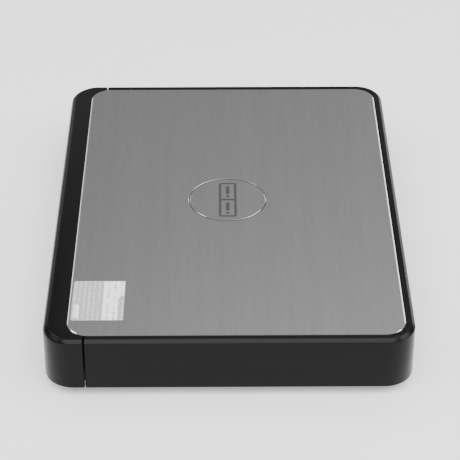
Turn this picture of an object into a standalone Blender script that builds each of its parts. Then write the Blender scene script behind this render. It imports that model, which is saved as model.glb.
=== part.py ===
"""A slim network storage unit with two drive bays, as its separate pieces.

Metres, +Z up. The origin is on the table under the middle of the casing. X runs along the
front, Y runs from the front cover (negative) to the ports (positive).
"""
import math

import bmesh
import bpy

MM = 0.001

# Driving sizes of the casing
WIDTH = 302.0 * MM
DEPTH = 220.0 * MM
HEIGHT = 41.3 * MM
CORNER_RADIUS = 18.0 * MM
WALL = 2.4 * MM
SHELL_BOTTOM = 6.3 * MM
RIM_TOP = 40.9 * MM
EDGE_CHAMFER = 2.0 * MM
FRONT_ROUND = 4.0 * MM
DECK_TOP = 39.6 * MM
DECK_BOTTOM = 38.2 * MM
CLEARANCE = 0.3 * MM

BOTTOM_EDGE = 0.8 * MM
OVERRUN = 1.0 * MM

# Seam between the front cover and the case
SEAM_Y = -85.25 * MM
SEAM_GROOVE = 0.89 * MM
COVER_FLOOR = 1.8 * MM
ARM_X = (144.6 * MM, 146.4 * MM)
ARM_Y = (-103.0 * MM, -79.0 * MM)
ARM_Z = (18.0 * MM, 28.0 * MM)

# Openings in the case
PORT_OPENING_HALF = 128.0 * MM
PORT_OPENING_Z = (9.5 * MM, 36.5 * MM)
CARD_Y = -49.0 * MM
CARD_SLOT_HALF = 13.2 * MM
CARD_SLOT_Z = (16.2 * MM, 19.2 * MM)

# Top plate and its sticker
PLATE_HALF_X = 145.3 * MM
PLATE_FRONT = -95.5 * MM
PLATE_BACK = 104.3 * MM
PLATE_RADIUS = 13.0 * MM
PLATE_TOP = 41.0 * MM
PLATE_BOTTOM = 39.9 * MM
PLATE_EDGE = 0.6 * MM
RING_RADIUS = 24.9 * MM
RING_LINE = 0.6 * MM
RING_DEPTH = 0.3 * MM
LABEL_X = (90.8 * MM, 130.6 * MM)
LABEL_Y = (-93.8 * MM, -62.6 * MM)
PLATE_GAP = 0.25 * MM

# Floor, feet and screws
PAN_BOTTOM = 3.3 * MM
PAN_TOP = 4.6 * MM
PAN_INSET = 6.3 * MM
PAN_NOSE_HALF = 140.0 * MM
PAN_LIP = (6.6 * MM, 7.9 * MM)
PAN_FRONT = -83.4 * MM
SCREW_WELL_RADIUS = 3.4 * MM
SCREW_HOLE_RADIUS = 1.8 * MM
FOOT_RADIUS = 8.0 * MM
FOOT_HEIGHT = 3.1 * MM
FOOT_PLACES = ((-112, -74), (112, -74), (-112, 88), (112, 88))
CASE_SCREW_PLACES = ((-130, -70), (130, -70), (-130, 92), (130, 92))
BOARD_POST_PLACES = ((-118, 64), (118, 64), (-118, 101), (118, 101))
READER_POST_X = -118.0 * MM
READER_POST_Y = (-60.0 * MM, -20.0 * MM)
READER_BOARD_Z = (14.4 * MM, 15.6 * MM)

# Drives and trays
BAY_CENTRES = (-55.25 * MM, 55.25 * MM)
CAGE_HALF = 111.0 * MM
SHEET = 1.0 * MM
CAGE_Y = (-82.5 * MM, 56.8 * MM)
CAGE_Z = (4.9 * MM, 37.4 * MM)
TRAY_HALF = 53.7 * MM
TRAY_WALL = 2.5 * MM
TRAY_Z = (6.4 * MM, 20.0 * MM)
TRAY_Y = (-97.4 * MM, 40.0 * MM)
DRIVE_HALF = 50.8 * MM
DRIVE_Y = (-96.0 * MM, 51.0 * MM)
DRIVE_Z = (8.2 * MM, 34.3 * MM)
DRIVE_SCREW_Y = (-79.1 * MM, 22.5 * MM)
DRIVE_SCREW_Z = DRIVE_Z[0] + 6.35 * MM
LEVER_PIN_OFFSET = -47.55 * MM
LEVER_PIN_Y = -101.6 * MM
LEVER_REACH = 62.0 * MM
LEVER_Z = (13.8 * MM, 28.2 * MM)
DRIVE_PLUG_OFFSET = 18.0 * MM
LEVER_BORE = 1.25 * MM
LEVER_PIN_RADIUS = 0.95 * MM
LUG_HALF = 2.6 * MM
LUG_BORE = 1.5 * MM
DRIVE_SCREW_RADIUS = 1.55 * MM

# Boards and what is on them
BACKPLANE_Y = (57.2 * MM, 58.8 * MM)
BOARD_HALF_X = 124.5 * MM
BOARD_Y = (60.0 * MM, 105.3 * MM)
BOARD_Z = (9.0 * MM, 10.6 * MM)
ON_BOARD = BOARD_Z[1] + CLEARANCE
PANEL_Y = (105.9 * MM, 107.3 * MM)
PORT_FACE = 108.2 * MM
LAN_X = -78.0 * MM
LAN_WIDTH = 16.0 * MM
LAN_HEIGHT = 13.4 * MM
USB_WIDTH = 14.5 * MM
USB_HEIGHT = 15.6 * MM
USB_X = {"usb2_ports": -55.0 * MM, "usb3_ports": -34.0 * MM}
DC_X = -101.0 * MM
DC_Z = ON_BOARD + 6.0 * MM
RESET_X = -14.0 * MM
COIN_CELL_PLACE = (-97.0 * MM, 74.0 * MM)
BUZZER_PLACE = (-62.0 * MM, 74.0 * MM)
CABLE_FLOOR = 5.6 * MM

# Buttons and lamps
BUTTON_FACE = -109.9 * MM
POWER_RADIUS = 4.7 * MM
COPY_RADIUS = 3.2 * MM
WINDOW_X = (111.0 * MM, 131.0 * MM)
WINDOW_Z = (13.0 * MM, 15.0 * MM)
FIRST_LAMP_X = 113.0 * MM
LAMP_PITCH = 4.0 * MM
LAMP_COUNT = 5
LED_BOARD_FACE = -96.9 * MM
POWER_X = 121.0 * MM
POWER_Z = 25.0 * MM
COPY_Y = -22.0 * MM
COPY_Z = 18.9 * MM
RESET_Z = 14.9 * MM


# ---------------------------------------------------------------- drawing
def point_on(axis, along, u, v):
    """A point from its distance along an axis and its two other coordinates, in order."""
    return {"X": (along, u, v), "Y": (u, along, v), "Z": (u, v, along)}[axis]


def add_box(bm, x, y, z):
    """A block between two limits on each axis."""
    corners = ((x[0], y[0]), (x[1], y[0]), (x[1], y[1]), (x[0], y[1]))
    low = [bm.verts.new((px, py, z[0])) for px, py in corners]
    top = [bm.verts.new((v.co.x, v.co.y, z[1])) for v in low]
    bm.faces.new(list(reversed(low)))
    bm.faces.new(top)
    for i in range(4):
        bm.faces.new((low[i], low[(i + 1) % 4], top[(i + 1) % 4], top[i]))


def add_stack(bm, rings):
    """A closed body through rings of points that match one to one, capped at both ends."""
    loops = [[bm.verts.new(p) for p in ring] for ring in rings]
    count = len(loops[0])
    bm.faces.new(list(reversed(loops[0])))
    bm.faces.new(loops[-1])
    for lower, upper in zip(loops, loops[1:]):
        for i in range(count):
            bm.faces.new((lower[i], lower[(i + 1) % count], upper[(i + 1) % count], upper[i]))


def add_prism(bm, axis, outline, span):
    """An outline, drawn in the two other coordinates, carried along an axis."""
    add_stack(bm, [[point_on(axis, along, u, v) for u, v in outline] for along in span])


def add_turned(bm, axis, centre, profile, segments=16):
    """A body of revolution: centre is its two other coordinates, profile is (along, radius)."""
    turn = [2.0 * math.pi * i / segments for i in range(segments)]
    rings = []
    for along, radius in profile:
        circle = [(centre[0] + radius * math.cos(a), centre[1] + radius * math.sin(a)) for a in turn]
        rings.append([point_on(axis, along, u, v) for u, v in circle])
    add_stack(bm, rings)


def round_rect(x, y, radius, inset=0.0, steps=6):
    """Corner arcs of a rectangle with rounded corners, pulled in evenly by inset."""
    outline = []
    corners = (
        (x[1], y[0], -1, 1, -90),
        (x[1], y[1], -1, -1, 0),
        (x[0], y[1], 1, -1, 90),
        (x[0], y[0], 1, 1, 180),
    )
    for corner_x, corner_y, to_x, to_y, start in corners:
        for i in range(steps + 1):
            angle = math.radians(start + 90.0 * i / steps)
            outline.append(
                (
                    corner_x + to_x * radius + (radius - inset) * math.cos(angle),
                    corner_y + to_y * radius + (radius - inset) * math.sin(angle),
                )
            )
    return outline


def widened(span, gap=CLEARANCE):
    """A span of two limits, opened by the gap at both ends."""
    return (span[0] - gap, span[1] + gap)


def at_height(outline, z):
    return [(x, y, z) for x, y in outline]


def make_material(name, colour, roughness, metallic=0.0):
    """A Principled BSDF with one colour."""
    material = bpy.data.materials.new(name)
    material.use_nodes = True
    shader = material.node_tree.nodes["Principled BSDF"]
    shader.inputs["Base Color"].default_value = (*colour, 1.0)
    shader.inputs["Roughness"].default_value = roughness
    shader.inputs["Metallic"].default_value = metallic
    material.diffuse_color = (*colour, 1.0)
    return material


def make_object(name, bm, material=None, origin=(0.0, 0.0, 0.0), round_angle=None):
    """An object from a drawing in world coordinates, with its origin where origin says."""
    for vert in bm.verts:
        vert.co -= type(vert.co)(origin)
    bmesh.ops.recalc_face_normals(bm, faces=bm.faces)
    mesh = bpy.data.meshes.new(name)
    bm.to_mesh(mesh)
    bm.free()
    if round_angle:
        mesh.shade_smooth()
        mesh.set_sharp_from_angle(angle=math.radians(round_angle))
    piece = bpy.data.objects.new(name, mesh)
    piece.location = origin
    bpy.context.scene.collection.objects.link(piece)
    if material:
        mesh.materials.append(material)
    else:
        piece.hide_render = True
        piece.display_type = "WIRE"
    return piece


def combine(piece, operation, drawing, overlapping=False):
    """Cut away, add or keep what a drawing holds, with a Boolean modifier."""
    guide = make_object(f"{piece.name}_{operation.lower()}_{len(piece.modifiers)}", drawing)
    modifier = piece.modifiers.new(operation.title(), "BOOLEAN")
    modifier.operation = operation
    modifier.solver = "EXACT"
    modifier.use_self = overlapping
    modifier.object = guide


def simple_block(name, material, x, y, z, edge=0.0):
    """A rectangular piece, its edges broken by a one-step bevel if edge is given."""
    bm = bmesh.new()
    add_box(bm, x, y, z)
    piece = make_object(name, bm, material)
    if edge:
        bevel = piece.modifiers.new("Edge", "BEVEL")
        bevel.width = edge
        bevel.segments = 1
    return piece


def turned_piece(name, material, axis, centre, profile, segments=16, origin=(0.0, 0.0, 0.0)):
    bm = bmesh.new()
    add_turned(bm, axis, centre, profile, segments)
    return make_object(name, bm, material, origin, round_angle=40)


def remove_everything():
    for piece in list(bpy.data.objects):
        bpy.data.objects.remove(piece, do_unlink=True)
    for mesh in list(bpy.data.meshes):
        bpy.data.meshes.remove(mesh)


# ---------------------------------------------------------------- casing
def casing_outline(inset, steps=8):
    return round_rect((-WIDTH / 2, WIDTH / 2), (-DEPTH / 2, DEPTH / 2), CORNER_RADIUS, inset, steps)


def casing_rings():
    """The outside of the casing, level by level.

    Sides and back end in a flat chamfer. Towards the front the edge turns into a larger
    quarter round, which blends into the chamfer along each front corner.
    """
    levels = 5
    plain = casing_outline(0.0)
    rings = [
        at_height(casing_outline(BOTTOM_EDGE), SHELL_BOTTOM),
        at_height(plain, SHELL_BOTTOM + BOTTOM_EDGE),
    ]
    for level in range(levels):
        share = level / (levels - 1)
        side_in = EDGE_CHAMFER * share
        side_z = RIM_TOP - EDGE_CHAMFER * (1.0 - share)
        turn = math.radians(90.0 * share)
        front_in = FRONT_ROUND * (1.0 - math.cos(turn))
        front_z = RIM_TOP - FRONT_ROUND * (1.0 - math.sin(turn))
        ring = []
        for number, (x, y) in enumerate(plain):
            facing = max(0.0, min(1.0, (-y - (DEPTH / 2 - CORNER_RADIUS)) / CORNER_RADIUS))
            blend = facing * facing * (3.0 - 2.0 * facing)
            inset = side_in + (front_in - side_in) * blend
            px, py = casing_outline(inset)[number]
            ring.append((px, py, side_z + (front_z - side_z) * blend))
        rings.append(ring)
    return rings


def seam_groove(side):
    """A V cut along the seam, up one side wall, over the chamfer and across the rim."""
    outward = 0.4 * MM
    tip_half = 0.02 * MM
    past_rim = 2.0 * MM
    lean = math.tan(math.radians(22.5))
    bm = bmesh.new()
    rows = []
    for depth, half in ((outward, SEAM_GROOVE + outward), (-SEAM_GROOVE, tip_half)):
        path = (
            (WIDTH / 2 + depth, SHELL_BOTTOM - MM),
            (WIDTH / 2 + depth, RIM_TOP - EDGE_CHAMFER + depth * lean),
            (WIDTH / 2 - EDGE_CHAMFER + depth * lean, RIM_TOP + depth),
            (PLATE_HALF_X - past_rim, RIM_TOP + depth),
        )
        rows.append([(side * x, SEAM_Y - half, z) for x, z in path])
        rows.append([(side * x, SEAM_Y + half, z) for x, z in path])
    outer_front, outer_back, inner_front, inner_back = rows
    sections = [list(s) for s in zip(outer_front, outer_back, inner_back, inner_front)]
    add_stack(bm, sections)
    return bm


def plate_outline(grow=0.0, steps=8):
    return round_rect((-PLATE_HALF_X, PLATE_HALF_X), (PLATE_FRONT, PLATE_BACK), PLATE_RADIUS, -grow, steps)


def make_upper_case(plastic):
    bm = bmesh.new()
    add_stack(bm, casing_rings())
    case = make_object("upper_case", bm, plastic, round_angle=30)

    front = bmesh.new()
    add_box(front, (-WIDTH, WIDTH), (-DEPTH, SEAM_Y + CLEARANCE), (-OVERRUN, HEIGHT + OVERRUN))
    combine(case, "DIFFERENCE", front)

    hollow = bmesh.new()
    inside = round_rect(
        (-WIDTH / 2 + WALL, WIDTH / 2 - WALL), (-DEPTH / 2 - WALL, DEPTH / 2 - WALL), CORNER_RADIUS - WALL
    )
    add_prism(hollow, "Z", inside, (0.0, DECK_BOTTOM))
    combine(case, "DIFFERENCE", hollow)

    recess = bmesh.new()
    add_prism(recess, "Z", plate_outline(PLATE_GAP), (DECK_TOP, HEIGHT + OVERRUN))
    combine(case, "DIFFERENCE", recess)

    holes = bmesh.new()
    port_corner = 2.5 * MM
    ports = round_rect((-PORT_OPENING_HALF, PORT_OPENING_HALF), PORT_OPENING_Z, port_corner, steps=2)
    add_prism(holes, "Y", ports, (DEPTH / 2 - WALL - OVERRUN, DEPTH / 2 + OVERRUN))
    left = (-WIDTH / 2 - OVERRUN, -WIDTH / 2 + WALL + OVERRUN)
    card_corner = 0.8 * MM
    card = round_rect((CARD_Y - CARD_SLOT_HALF, CARD_Y + CARD_SLOT_HALF), CARD_SLOT_Z, card_corner, steps=2)
    add_prism(holes, "X", card, left)
    copy_hole = COPY_RADIUS + CLEARANCE
    add_turned(holes, "X", (COPY_Y, COPY_Z), [(left[0], copy_hole), (left[1], copy_hole)], 24)
    combine(case, "DIFFERENCE", holes)

    for side in (-1, 1):
        combine(case, "DIFFERENCE", seam_groove(side))

    bosses = bmesh.new()
    pilots = bmesh.new()
    boss_radius, boss_low, sunk = 3.5 * MM, 6.6 * MM, 0.6 * MM
    pilot_span = (5.0 * MM, 16.5 * MM)
    for x, y in CASE_SCREW_PLACES:
        centre = (x * MM, y * MM)
        add_turned(bosses, "Z", centre, [(boss_low, boss_radius), (DECK_BOTTOM + sunk, boss_radius)], 16)
        add_turned(pilots, "Z", centre, [(along, SCREW_HOLE_RADIUS) for along in pilot_span], 12)
    combine(case, "UNION", bosses)
    combine(case, "DIFFERENCE", pilots)


def make_front_cover(plastic):
    bm = bmesh.new()
    add_stack(bm, casing_rings())
    cover = make_object("front_cover", bm, plastic, round_angle=30)

    rear = bmesh.new()
    add_box(rear, (-WIDTH, WIDTH), (SEAM_Y - CLEARANCE, DEPTH), (-OVERRUN, HEIGHT + OVERRUN))
    combine(cover, "DIFFERENCE", rear)

    hollow = bmesh.new()
    inside_x = (-WIDTH / 2 + WALL, WIDTH / 2 - WALL)
    inside = round_rect(inside_x, (-DEPTH / 2 + WALL, 0.0), CORNER_RADIUS - WALL)
    add_prism(hollow, "Z", inside, (SHELL_BOTTOM + COVER_FLOOR, RIM_TOP - WALL))
    combine(cover, "DIFFERENCE", hollow)

    below = bmesh.new()
    floor_front, floor_front_at_sides, floor_corner = -100.0 * MM, -96.5 * MM, 4.0 * MM
    through_floor = (0.0, SHELL_BOTTOM + COVER_FLOOR + OVERRUN)
    floor_cut = round_rect((-PAN_NOSE_HALF, PAN_NOSE_HALF), (floor_front, 0.0), floor_corner, steps=3)
    add_prism(below, "Z", floor_cut, through_floor)
    add_box(below, inside_x, (floor_front_at_sides, 0.0), through_floor)
    combine(cover, "DIFFERENCE", below, overlapping=True)

    recess = bmesh.new()
    add_prism(recess, "Z", plate_outline(PLATE_GAP), (DECK_BOTTOM - CLEARANCE, HEIGHT + OVERRUN))
    combine(cover, "DIFFERENCE", recess)

    for side in (-1, 1):
        combine(cover, "DIFFERENCE", seam_groove(side))

    arms = bmesh.new()
    for side in (-1, 1):
        add_box(arms, sorted((side * ARM_X[0], side * ARM_X[1])), ARM_Y, ARM_Z)
    combine(cover, "UNION", arms)

    holes = bmesh.new()
    through = (-DEPTH / 2 - OVERRUN, -DEPTH / 2 + WALL + OVERRUN)
    power_hole = POWER_RADIUS + CLEARANCE
    add_turned(holes, "Y", (POWER_X, POWER_Z), [(through[0], power_hole), (through[1], power_hole)], 24)
    add_box(holes, widened(WINDOW_X), through, widened(WINDOW_Z))
    combine(cover, "DIFFERENCE", holes)


def make_indicator_window(clear):
    """A clear bar set in the cover, with one prong to each lamp."""
    bar_back = -107.0 * MM
    window = simple_block("indicator_window", clear, WINDOW_X, (BUTTON_FACE, bar_back), WINDOW_Z)
    prongs = bmesh.new()
    prong_half = 0.8 * MM
    prong_y = (bar_back - 0.6 * MM, -98.6 * MM)
    for lamp in range(LAMP_COUNT):
        x = FIRST_LAMP_X + LAMP_PITCH * lamp
        add_box(prongs, (x - prong_half, x + prong_half), prong_y, widened(WINDOW_Z, -CLEARANCE))
    combine(window, "UNION", prongs)


def make_power_button(metal):
    edge = 0.4 * MM
    flange_radius, stem_radius = 6.0 * MM, 1.6 * MM
    flange_front, flange_back, stem_end = -107.2 * MM, -106.0 * MM, -102.1 * MM
    profile = [
        (BUTTON_FACE, POWER_RADIUS - edge),
        (BUTTON_FACE + edge, POWER_RADIUS),
        (flange_front, POWER_RADIUS),
        (flange_front, flange_radius),
        (flange_back, flange_radius),
        (flange_back, stem_radius),
        (stem_end, stem_radius),
    ]
    axis_point = (POWER_X, BUTTON_FACE, POWER_Z)
    turned_piece("power_button", metal, "Y", (POWER_X, POWER_Z), profile, 24, axis_point)


def make_top_plate(aluminium):
    bm = bmesh.new()
    rings = [
        at_height(plate_outline(), PLATE_BOTTOM),
        at_height(plate_outline(), PLATE_TOP - PLATE_EDGE / 2),
        at_height(plate_outline(-PLATE_EDGE), PLATE_TOP),
    ]
    add_stack(bm, rings)
    plate = make_object("top_plate", bm, aluminium, round_angle=20)
    groove = bmesh.new()
    inner = RING_RADIUS - RING_LINE / 2
    outer = RING_RADIUS + RING_LINE / 2
    bottom = PLATE_TOP - RING_DEPTH
    section = [(inner, bottom), (outer, bottom), (outer, HEIGHT), (inner, HEIGHT)]
    segments = 40
    rows = []
    for i in range(segments):
        angle = 2.0 * math.pi * i / segments
        rows.append([groove.verts.new((r * math.cos(angle), r * math.sin(angle), z)) for r, z in section])
    for i in range(segments):
        here, there = rows[i], rows[(i + 1) % segments]
        for k in range(4):
            groove.faces.new((here[k], here[(k + 1) % 4], there[(k + 1) % 4], there[k]))
    combine(plate, "DIFFERENCE", groove)


def make_info_label(film):
    bm = bmesh.new()
    corner, glue = 1.5 * MM, 0.1 * MM
    outline = round_rect(LABEL_X, LABEL_Y, corner, steps=3)
    add_prism(bm, "Z", outline, (PLATE_TOP + glue, HEIGHT))
    make_object("info_label", bm, film)


def make_base_pan(plastic):
    """A moulded tray with an outward lip at the sides and back, and a flat nose in front."""
    bm = bmesh.new()
    lip = WALL + CLEARANCE
    wall_inset = PAN_INSET + 1.5 * MM

    def ring(inset, z):
        x_half = WIDTH / 2 - inset
        front = PAN_FRONT + inset - lip
        arcs = round_rect((-x_half, x_half), (-DEPTH, DEPTH / 2 - inset), CORNER_RADIUS - inset, steps=5)
        back = [(x, y) for x, y in arcs if y > 0.0]
        return at_height([(x_half, front)] + back + [(-x_half, front)], z)

    rings = [
        ring(PAN_INSET + BOTTOM_EDGE, PAN_BOTTOM),
        ring(PAN_INSET, PAN_BOTTOM + BOTTOM_EDGE),
        ring(PAN_INSET, PAN_LIP[0]),
        ring(lip, PAN_LIP[0]),
        ring(lip, PAN_LIP[1]),
        ring(wall_inset, PAN_LIP[1]),
        ring(wall_inset, PAN_TOP),
    ]
    add_stack(bm, rings)
    pan = make_object("base_pan", bm, plastic, round_angle=30)

    front_room = bmesh.new()
    room_half, room_y, nose_back = 142.0 * MM, (-84.0 * MM, -75.0 * MM), -75.0 * MM
    add_box(front_room, (-room_half, room_half), room_y, (PAN_TOP, PAN_LIP[1] + OVERRUN))
    combine(pan, "DIFFERENCE", front_room)

    nose = bmesh.new()
    nose_front, nose_corner = -96.0 * MM, 6.0 * MM
    outline = round_rect((-PAN_NOSE_HALF, PAN_NOSE_HALF), (nose_front, nose_back), nose_corner, steps=3)
    add_prism(nose, "Z", outline, (PAN_BOTTOM, PAN_TOP))
    combine(pan, "UNION", nose)

    posts = bmesh.new()
    well_wall = 4.5 * MM
    for x, y in CASE_SCREW_PLACES:
        profile = [(PAN_BOTTOM + 0.2 * MM, well_wall), (SHELL_BOTTOM, well_wall)]
        add_turned(posts, "Z", (x * MM, y * MM), profile, 16)
    post_radius, spigot_radius, post_low = 2.5 * MM, 1.3 * MM, PAN_TOP - 0.5 * MM
    shoulder, spigot_top = BOARD_Z[0] - CLEARANCE, BOARD_Z[1] + MM
    for x, y in BOARD_POST_PLACES:
        profile = [(post_low, post_radius), (shoulder, post_radius)]
        profile += [(shoulder, spigot_radius), (spigot_top, spigot_radius)]
        add_turned(posts, "Z", (x * MM, y * MM), profile, 12)
    for y in READER_POST_Y:
        profile = [(post_low, post_radius), (READER_BOARD_Z[0] - CLEARANCE, post_radius)]
        add_turned(posts, "Z", (READER_POST_X, y), profile, 12)
    combine(pan, "UNION", posts)

    holes = bmesh.new()
    well_top, hole_top = 5.2 * MM, 9.0 * MM
    for x, y in CASE_SCREW_PLACES:
        profile = [(0.0, SCREW_WELL_RADIUS), (well_top, SCREW_WELL_RADIUS)]
        profile += [(well_top, SCREW_HOLE_RADIUS), (hole_top, SCREW_HOLE_RADIUS)]
        add_turned(holes, "Z", (x * MM, y * MM), profile, 16)
    vent_count, vent_pitch, first_vent = 7, 7.0 * MM, -30.0 * MM
    vent_x, vent_half, vent_corner = (30.0 * MM, 82.0 * MM), 1.25 * MM, 1.2 * MM
    for side in (-1, 1):
        for slot in range(vent_count):
            y = first_vent + vent_pitch * slot
            x = sorted((side * vent_x[0], side * vent_x[1]))
            outline = round_rect(x, (y - vent_half, y + vent_half), vent_corner, steps=2)
            add_prism(holes, "Z", outline, (PAN_BOTTOM - OVERRUN, PAN_TOP + OVERRUN))
    combine(pan, "DIFFERENCE", holes)


def make_rear_panel(steel):
    """A pressed sheet behind the rear opening, cut out for each port and vented."""
    panel_half, panel_z = 131.0 * MM, (8.3 * MM, 37.6 * MM)
    panel = simple_block("rear_panel", steel, (-panel_half, panel_half), PANEL_Y, panel_z)
    through = widened(PANEL_Y, OVERRUN)
    cuts = bmesh.new()
    low = ON_BOARD - 0.4 * MM
    lan_half, lan_top = LAN_WIDTH / 2 + 0.4 * MM, ON_BOARD + LAN_HEIGHT + 0.4 * MM
    add_box(cuts, (LAN_X - lan_half, LAN_X + lan_half), through, (low, lan_top))
    usb_half, usb_top = USB_WIDTH / 2 + 0.35 * MM, ON_BOARD + USB_HEIGHT + 0.4 * MM
    for x in USB_X.values():
        add_box(cuts, (x - usb_half, x + usb_half), through, (low, usb_top))
    dc_hole, reset_hole = 4.2 * MM, 1.9 * MM
    add_turned(cuts, "Y", (DC_X, DC_Z), [(along, dc_hole) for along in through], 24)
    add_turned(cuts, "Y", (RESET_X, RESET_Z), [(along, reset_hole) for along in through], 12)
    lock_x, lock_z, lock_corner = (-121.0 * MM, -114.0 * MM), (15.0 * MM, 18.0 * MM), 1.2 * MM
    add_prism(cuts, "Y", round_rect(lock_x, lock_z, lock_corner, steps=2), through)
    vent_count, vent_pitch, first_vent = 17, 6.5 * MM, 10.0 * MM
    vent_half, vent_z = 1.5 * MM, (13.0 * MM, 33.0 * MM)
    for slot in range(vent_count):
        x = first_vent + vent_pitch * slot
        add_box(cuts, (x - vent_half, x + vent_half), through, vent_z)
    combine(panel, "DIFFERENCE", cuts)


def make_front_bezel(plastic):
    """The frame round the bay mouths; its top carries the front of the plate."""
    half, low = 141.5 * MM, 4.9 * MM
    face_y, behind_y = (-95.2 * MM, -85.3 * MM), (-86.0 * MM, -83.0 * MM)
    bm = bmesh.new()
    add_box(bm, (-half, half), face_y, (low, DECK_TOP))
    bezel = make_object("front_bezel", bm, plastic)
    under_plate = bmesh.new()
    add_prism(under_plate, "Z", plate_outline(-CLEARANCE), (0.0, HEIGHT))
    combine(bezel, "INTERSECT", under_plate)
    behind = bmesh.new()
    add_box(behind, (-half, half), behind_y, (low, DECK_BOTTOM - CLEARANCE))
    combine(bezel, "UNION", behind)
    ears = bmesh.new()
    ear_x, ear_y, ear_z = (138.0 * MM, 148.3 * MM), (-84.4 * MM, -80.0 * MM), (10.5 * MM, 37.9 * MM)
    for side in (-1, 1):
        add_box(ears, sorted((side * ear_x[0], side * ear_x[1])), ear_y, ear_z)
    combine(bezel, "UNION", ears)
    cuts = bmesh.new()
    bay_x, bay_z = (0.8 * MM, 109.9 * MM), (6.0 * MM, 36.4 * MM)
    margin_x, margin_z = (113.5 * MM, 136.0 * MM), (7.0 * MM, 35.0 * MM)
    through, arm_way = (-97.0 * MM, -78.0 * MM), (-90.0 * MM, -78.0 * MM)
    arm_x, arm_z = widened(ARM_X), widened(ARM_Z)
    for side in (-1, 1):
        add_box(cuts, sorted((side * bay_x[0], side * bay_x[1])), through, bay_z)
        add_box(cuts, sorted((side * margin_x[0], side * margin_x[1])), through, margin_z)
        add_box(cuts, sorted((side * arm_x[0], side * arm_x[1])), arm_way, arm_z)
    combine(bezel, "DIFFERENCE", cuts)


def make_drive_cage(steel):
    """A folded sheet: a floor with a window under each bay, two outer walls and a middle one."""
    bm = bmesh.new()
    low, high = CAGE_Z
    half = CAGE_HALF
    outline = [
        (-half, low),
        (half, low),
        (half, high),
        (half - SHEET, high),
        (half - SHEET, low + SHEET),
        (SHEET / 2, low + SHEET),
        (SHEET / 2, high),
        (-SHEET / 2, high),
        (-SHEET / 2, low + SHEET),
        (-half + SHEET, low + SHEET),
        (-half + SHEET, high),
        (-half, high),
    ]
    add_prism(bm, "Y", outline, CAGE_Y)
    cage = make_object("drive_cage", bm, steel)
    windows = bmesh.new()
    window_half, window_y, window_corner = 30.0 * MM, (-35.0 * MM, 20.0 * MM), 4.0 * MM
    for x in BAY_CENTRES:
        outline = round_rect((x - window_half, x + window_half), window_y, window_corner, steps=2)
        add_prism(windows, "Z", outline, (low - OVERRUN, low + SHEET + OVERRUN))
    combine(cage, "DIFFERENCE", windows)


# ---------------------------------------------------------------- trays and drives
def screw_sides(centre_x):
    """For each screw of a tray: the side it enters from and its place along the drive."""
    return [(side, y, centre_x + side * TRAY_HALF) for side in (-1, 1) for y in DRIVE_SCREW_Y]


def make_tray(number, centre_x, plastic):
    bm = bmesh.new()
    left, right = centre_x - TRAY_HALF, centre_x + TRAY_HALF
    low, high = TRAY_Z
    floor = low + 1.5 * MM
    outline = [
        (left, low),
        (right, low),
        (right, high),
        (right - TRAY_WALL, high),
        (right - TRAY_WALL, floor),
        (left + TRAY_WALL, floor),
        (left + TRAY_WALL, high),
        (left, high),
    ]
    add_prism(bm, "Y", outline, TRAY_Y)
    tray = make_object(f"tray_{number}", bm, plastic)

    pin_x = centre_x + LEVER_PIN_OFFSET
    front = bmesh.new()
    front_y, front_top = (-99.4 * MM, -97.0 * MM), 35.8 * MM
    add_box(front, (left, right), front_y, (low, front_top))
    combine(tray, "UNION", front)
    lugs = bmesh.new()
    lug_y = (LEVER_PIN_Y - 2.0 * MM, -98.0 * MM)
    lug_low, lug_high = 10.3 * MM, 31.7 * MM
    for z in ((lug_low, LEVER_Z[0] - CLEARANCE), (LEVER_Z[1] + CLEARANCE, lug_high)):
        add_box(lugs, (pin_x - LUG_HALF, pin_x + LUG_HALF), lug_y, z)
    combine(tray, "UNION", lugs)

    cuts = bmesh.new()
    bore_span = (9.0 * MM, 33.0 * MM)
    add_turned(cuts, "Z", (pin_x, LEVER_PIN_Y), [(along, LUG_BORE) for along in bore_span], 12)
    window_half, window_y, window_corner = 34.0 * MM, (-60.0 * MM, 25.0 * MM), 4.0 * MM
    window = round_rect((centre_x - window_half, centre_x + window_half), window_y, window_corner, steps=2)
    add_prism(cuts, "Z", window, (low - OVERRUN, floor + OVERRUN))
    slot_count, slot_pitch, first_slot, slot_half = 5, 6.0 * MM, 22.0 * MM, 1.4 * MM
    slot_y, slot_z = (-101.0 * MM, -96.5 * MM), (11.0 * MM, 31.0 * MM)
    for slot in range(slot_count):
        x = centre_x + first_slot + slot_pitch * slot
        add_box(cuts, (x - slot_half, x + slot_half), slot_y, slot_z)
    sink_radius, sink_depth, hole_radius = 3.7 * MM, 1.7 * MM, 2.0 * MM
    for side, y, face in screw_sides(centre_x):
        outside = face + side * OVERRUN
        shoulder = face - side * sink_depth
        inside = face - side * (TRAY_WALL + OVERRUN)
        profile = [(outside, sink_radius), (shoulder, sink_radius)]
        profile += [(shoulder, hole_radius), (inside, hole_radius)]
        if side > 0:
            profile.reverse()
        add_turned(cuts, "X", (y, DRIVE_SCREW_Z), profile, 12)
    combine(tray, "DIFFERENCE", cuts)


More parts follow.
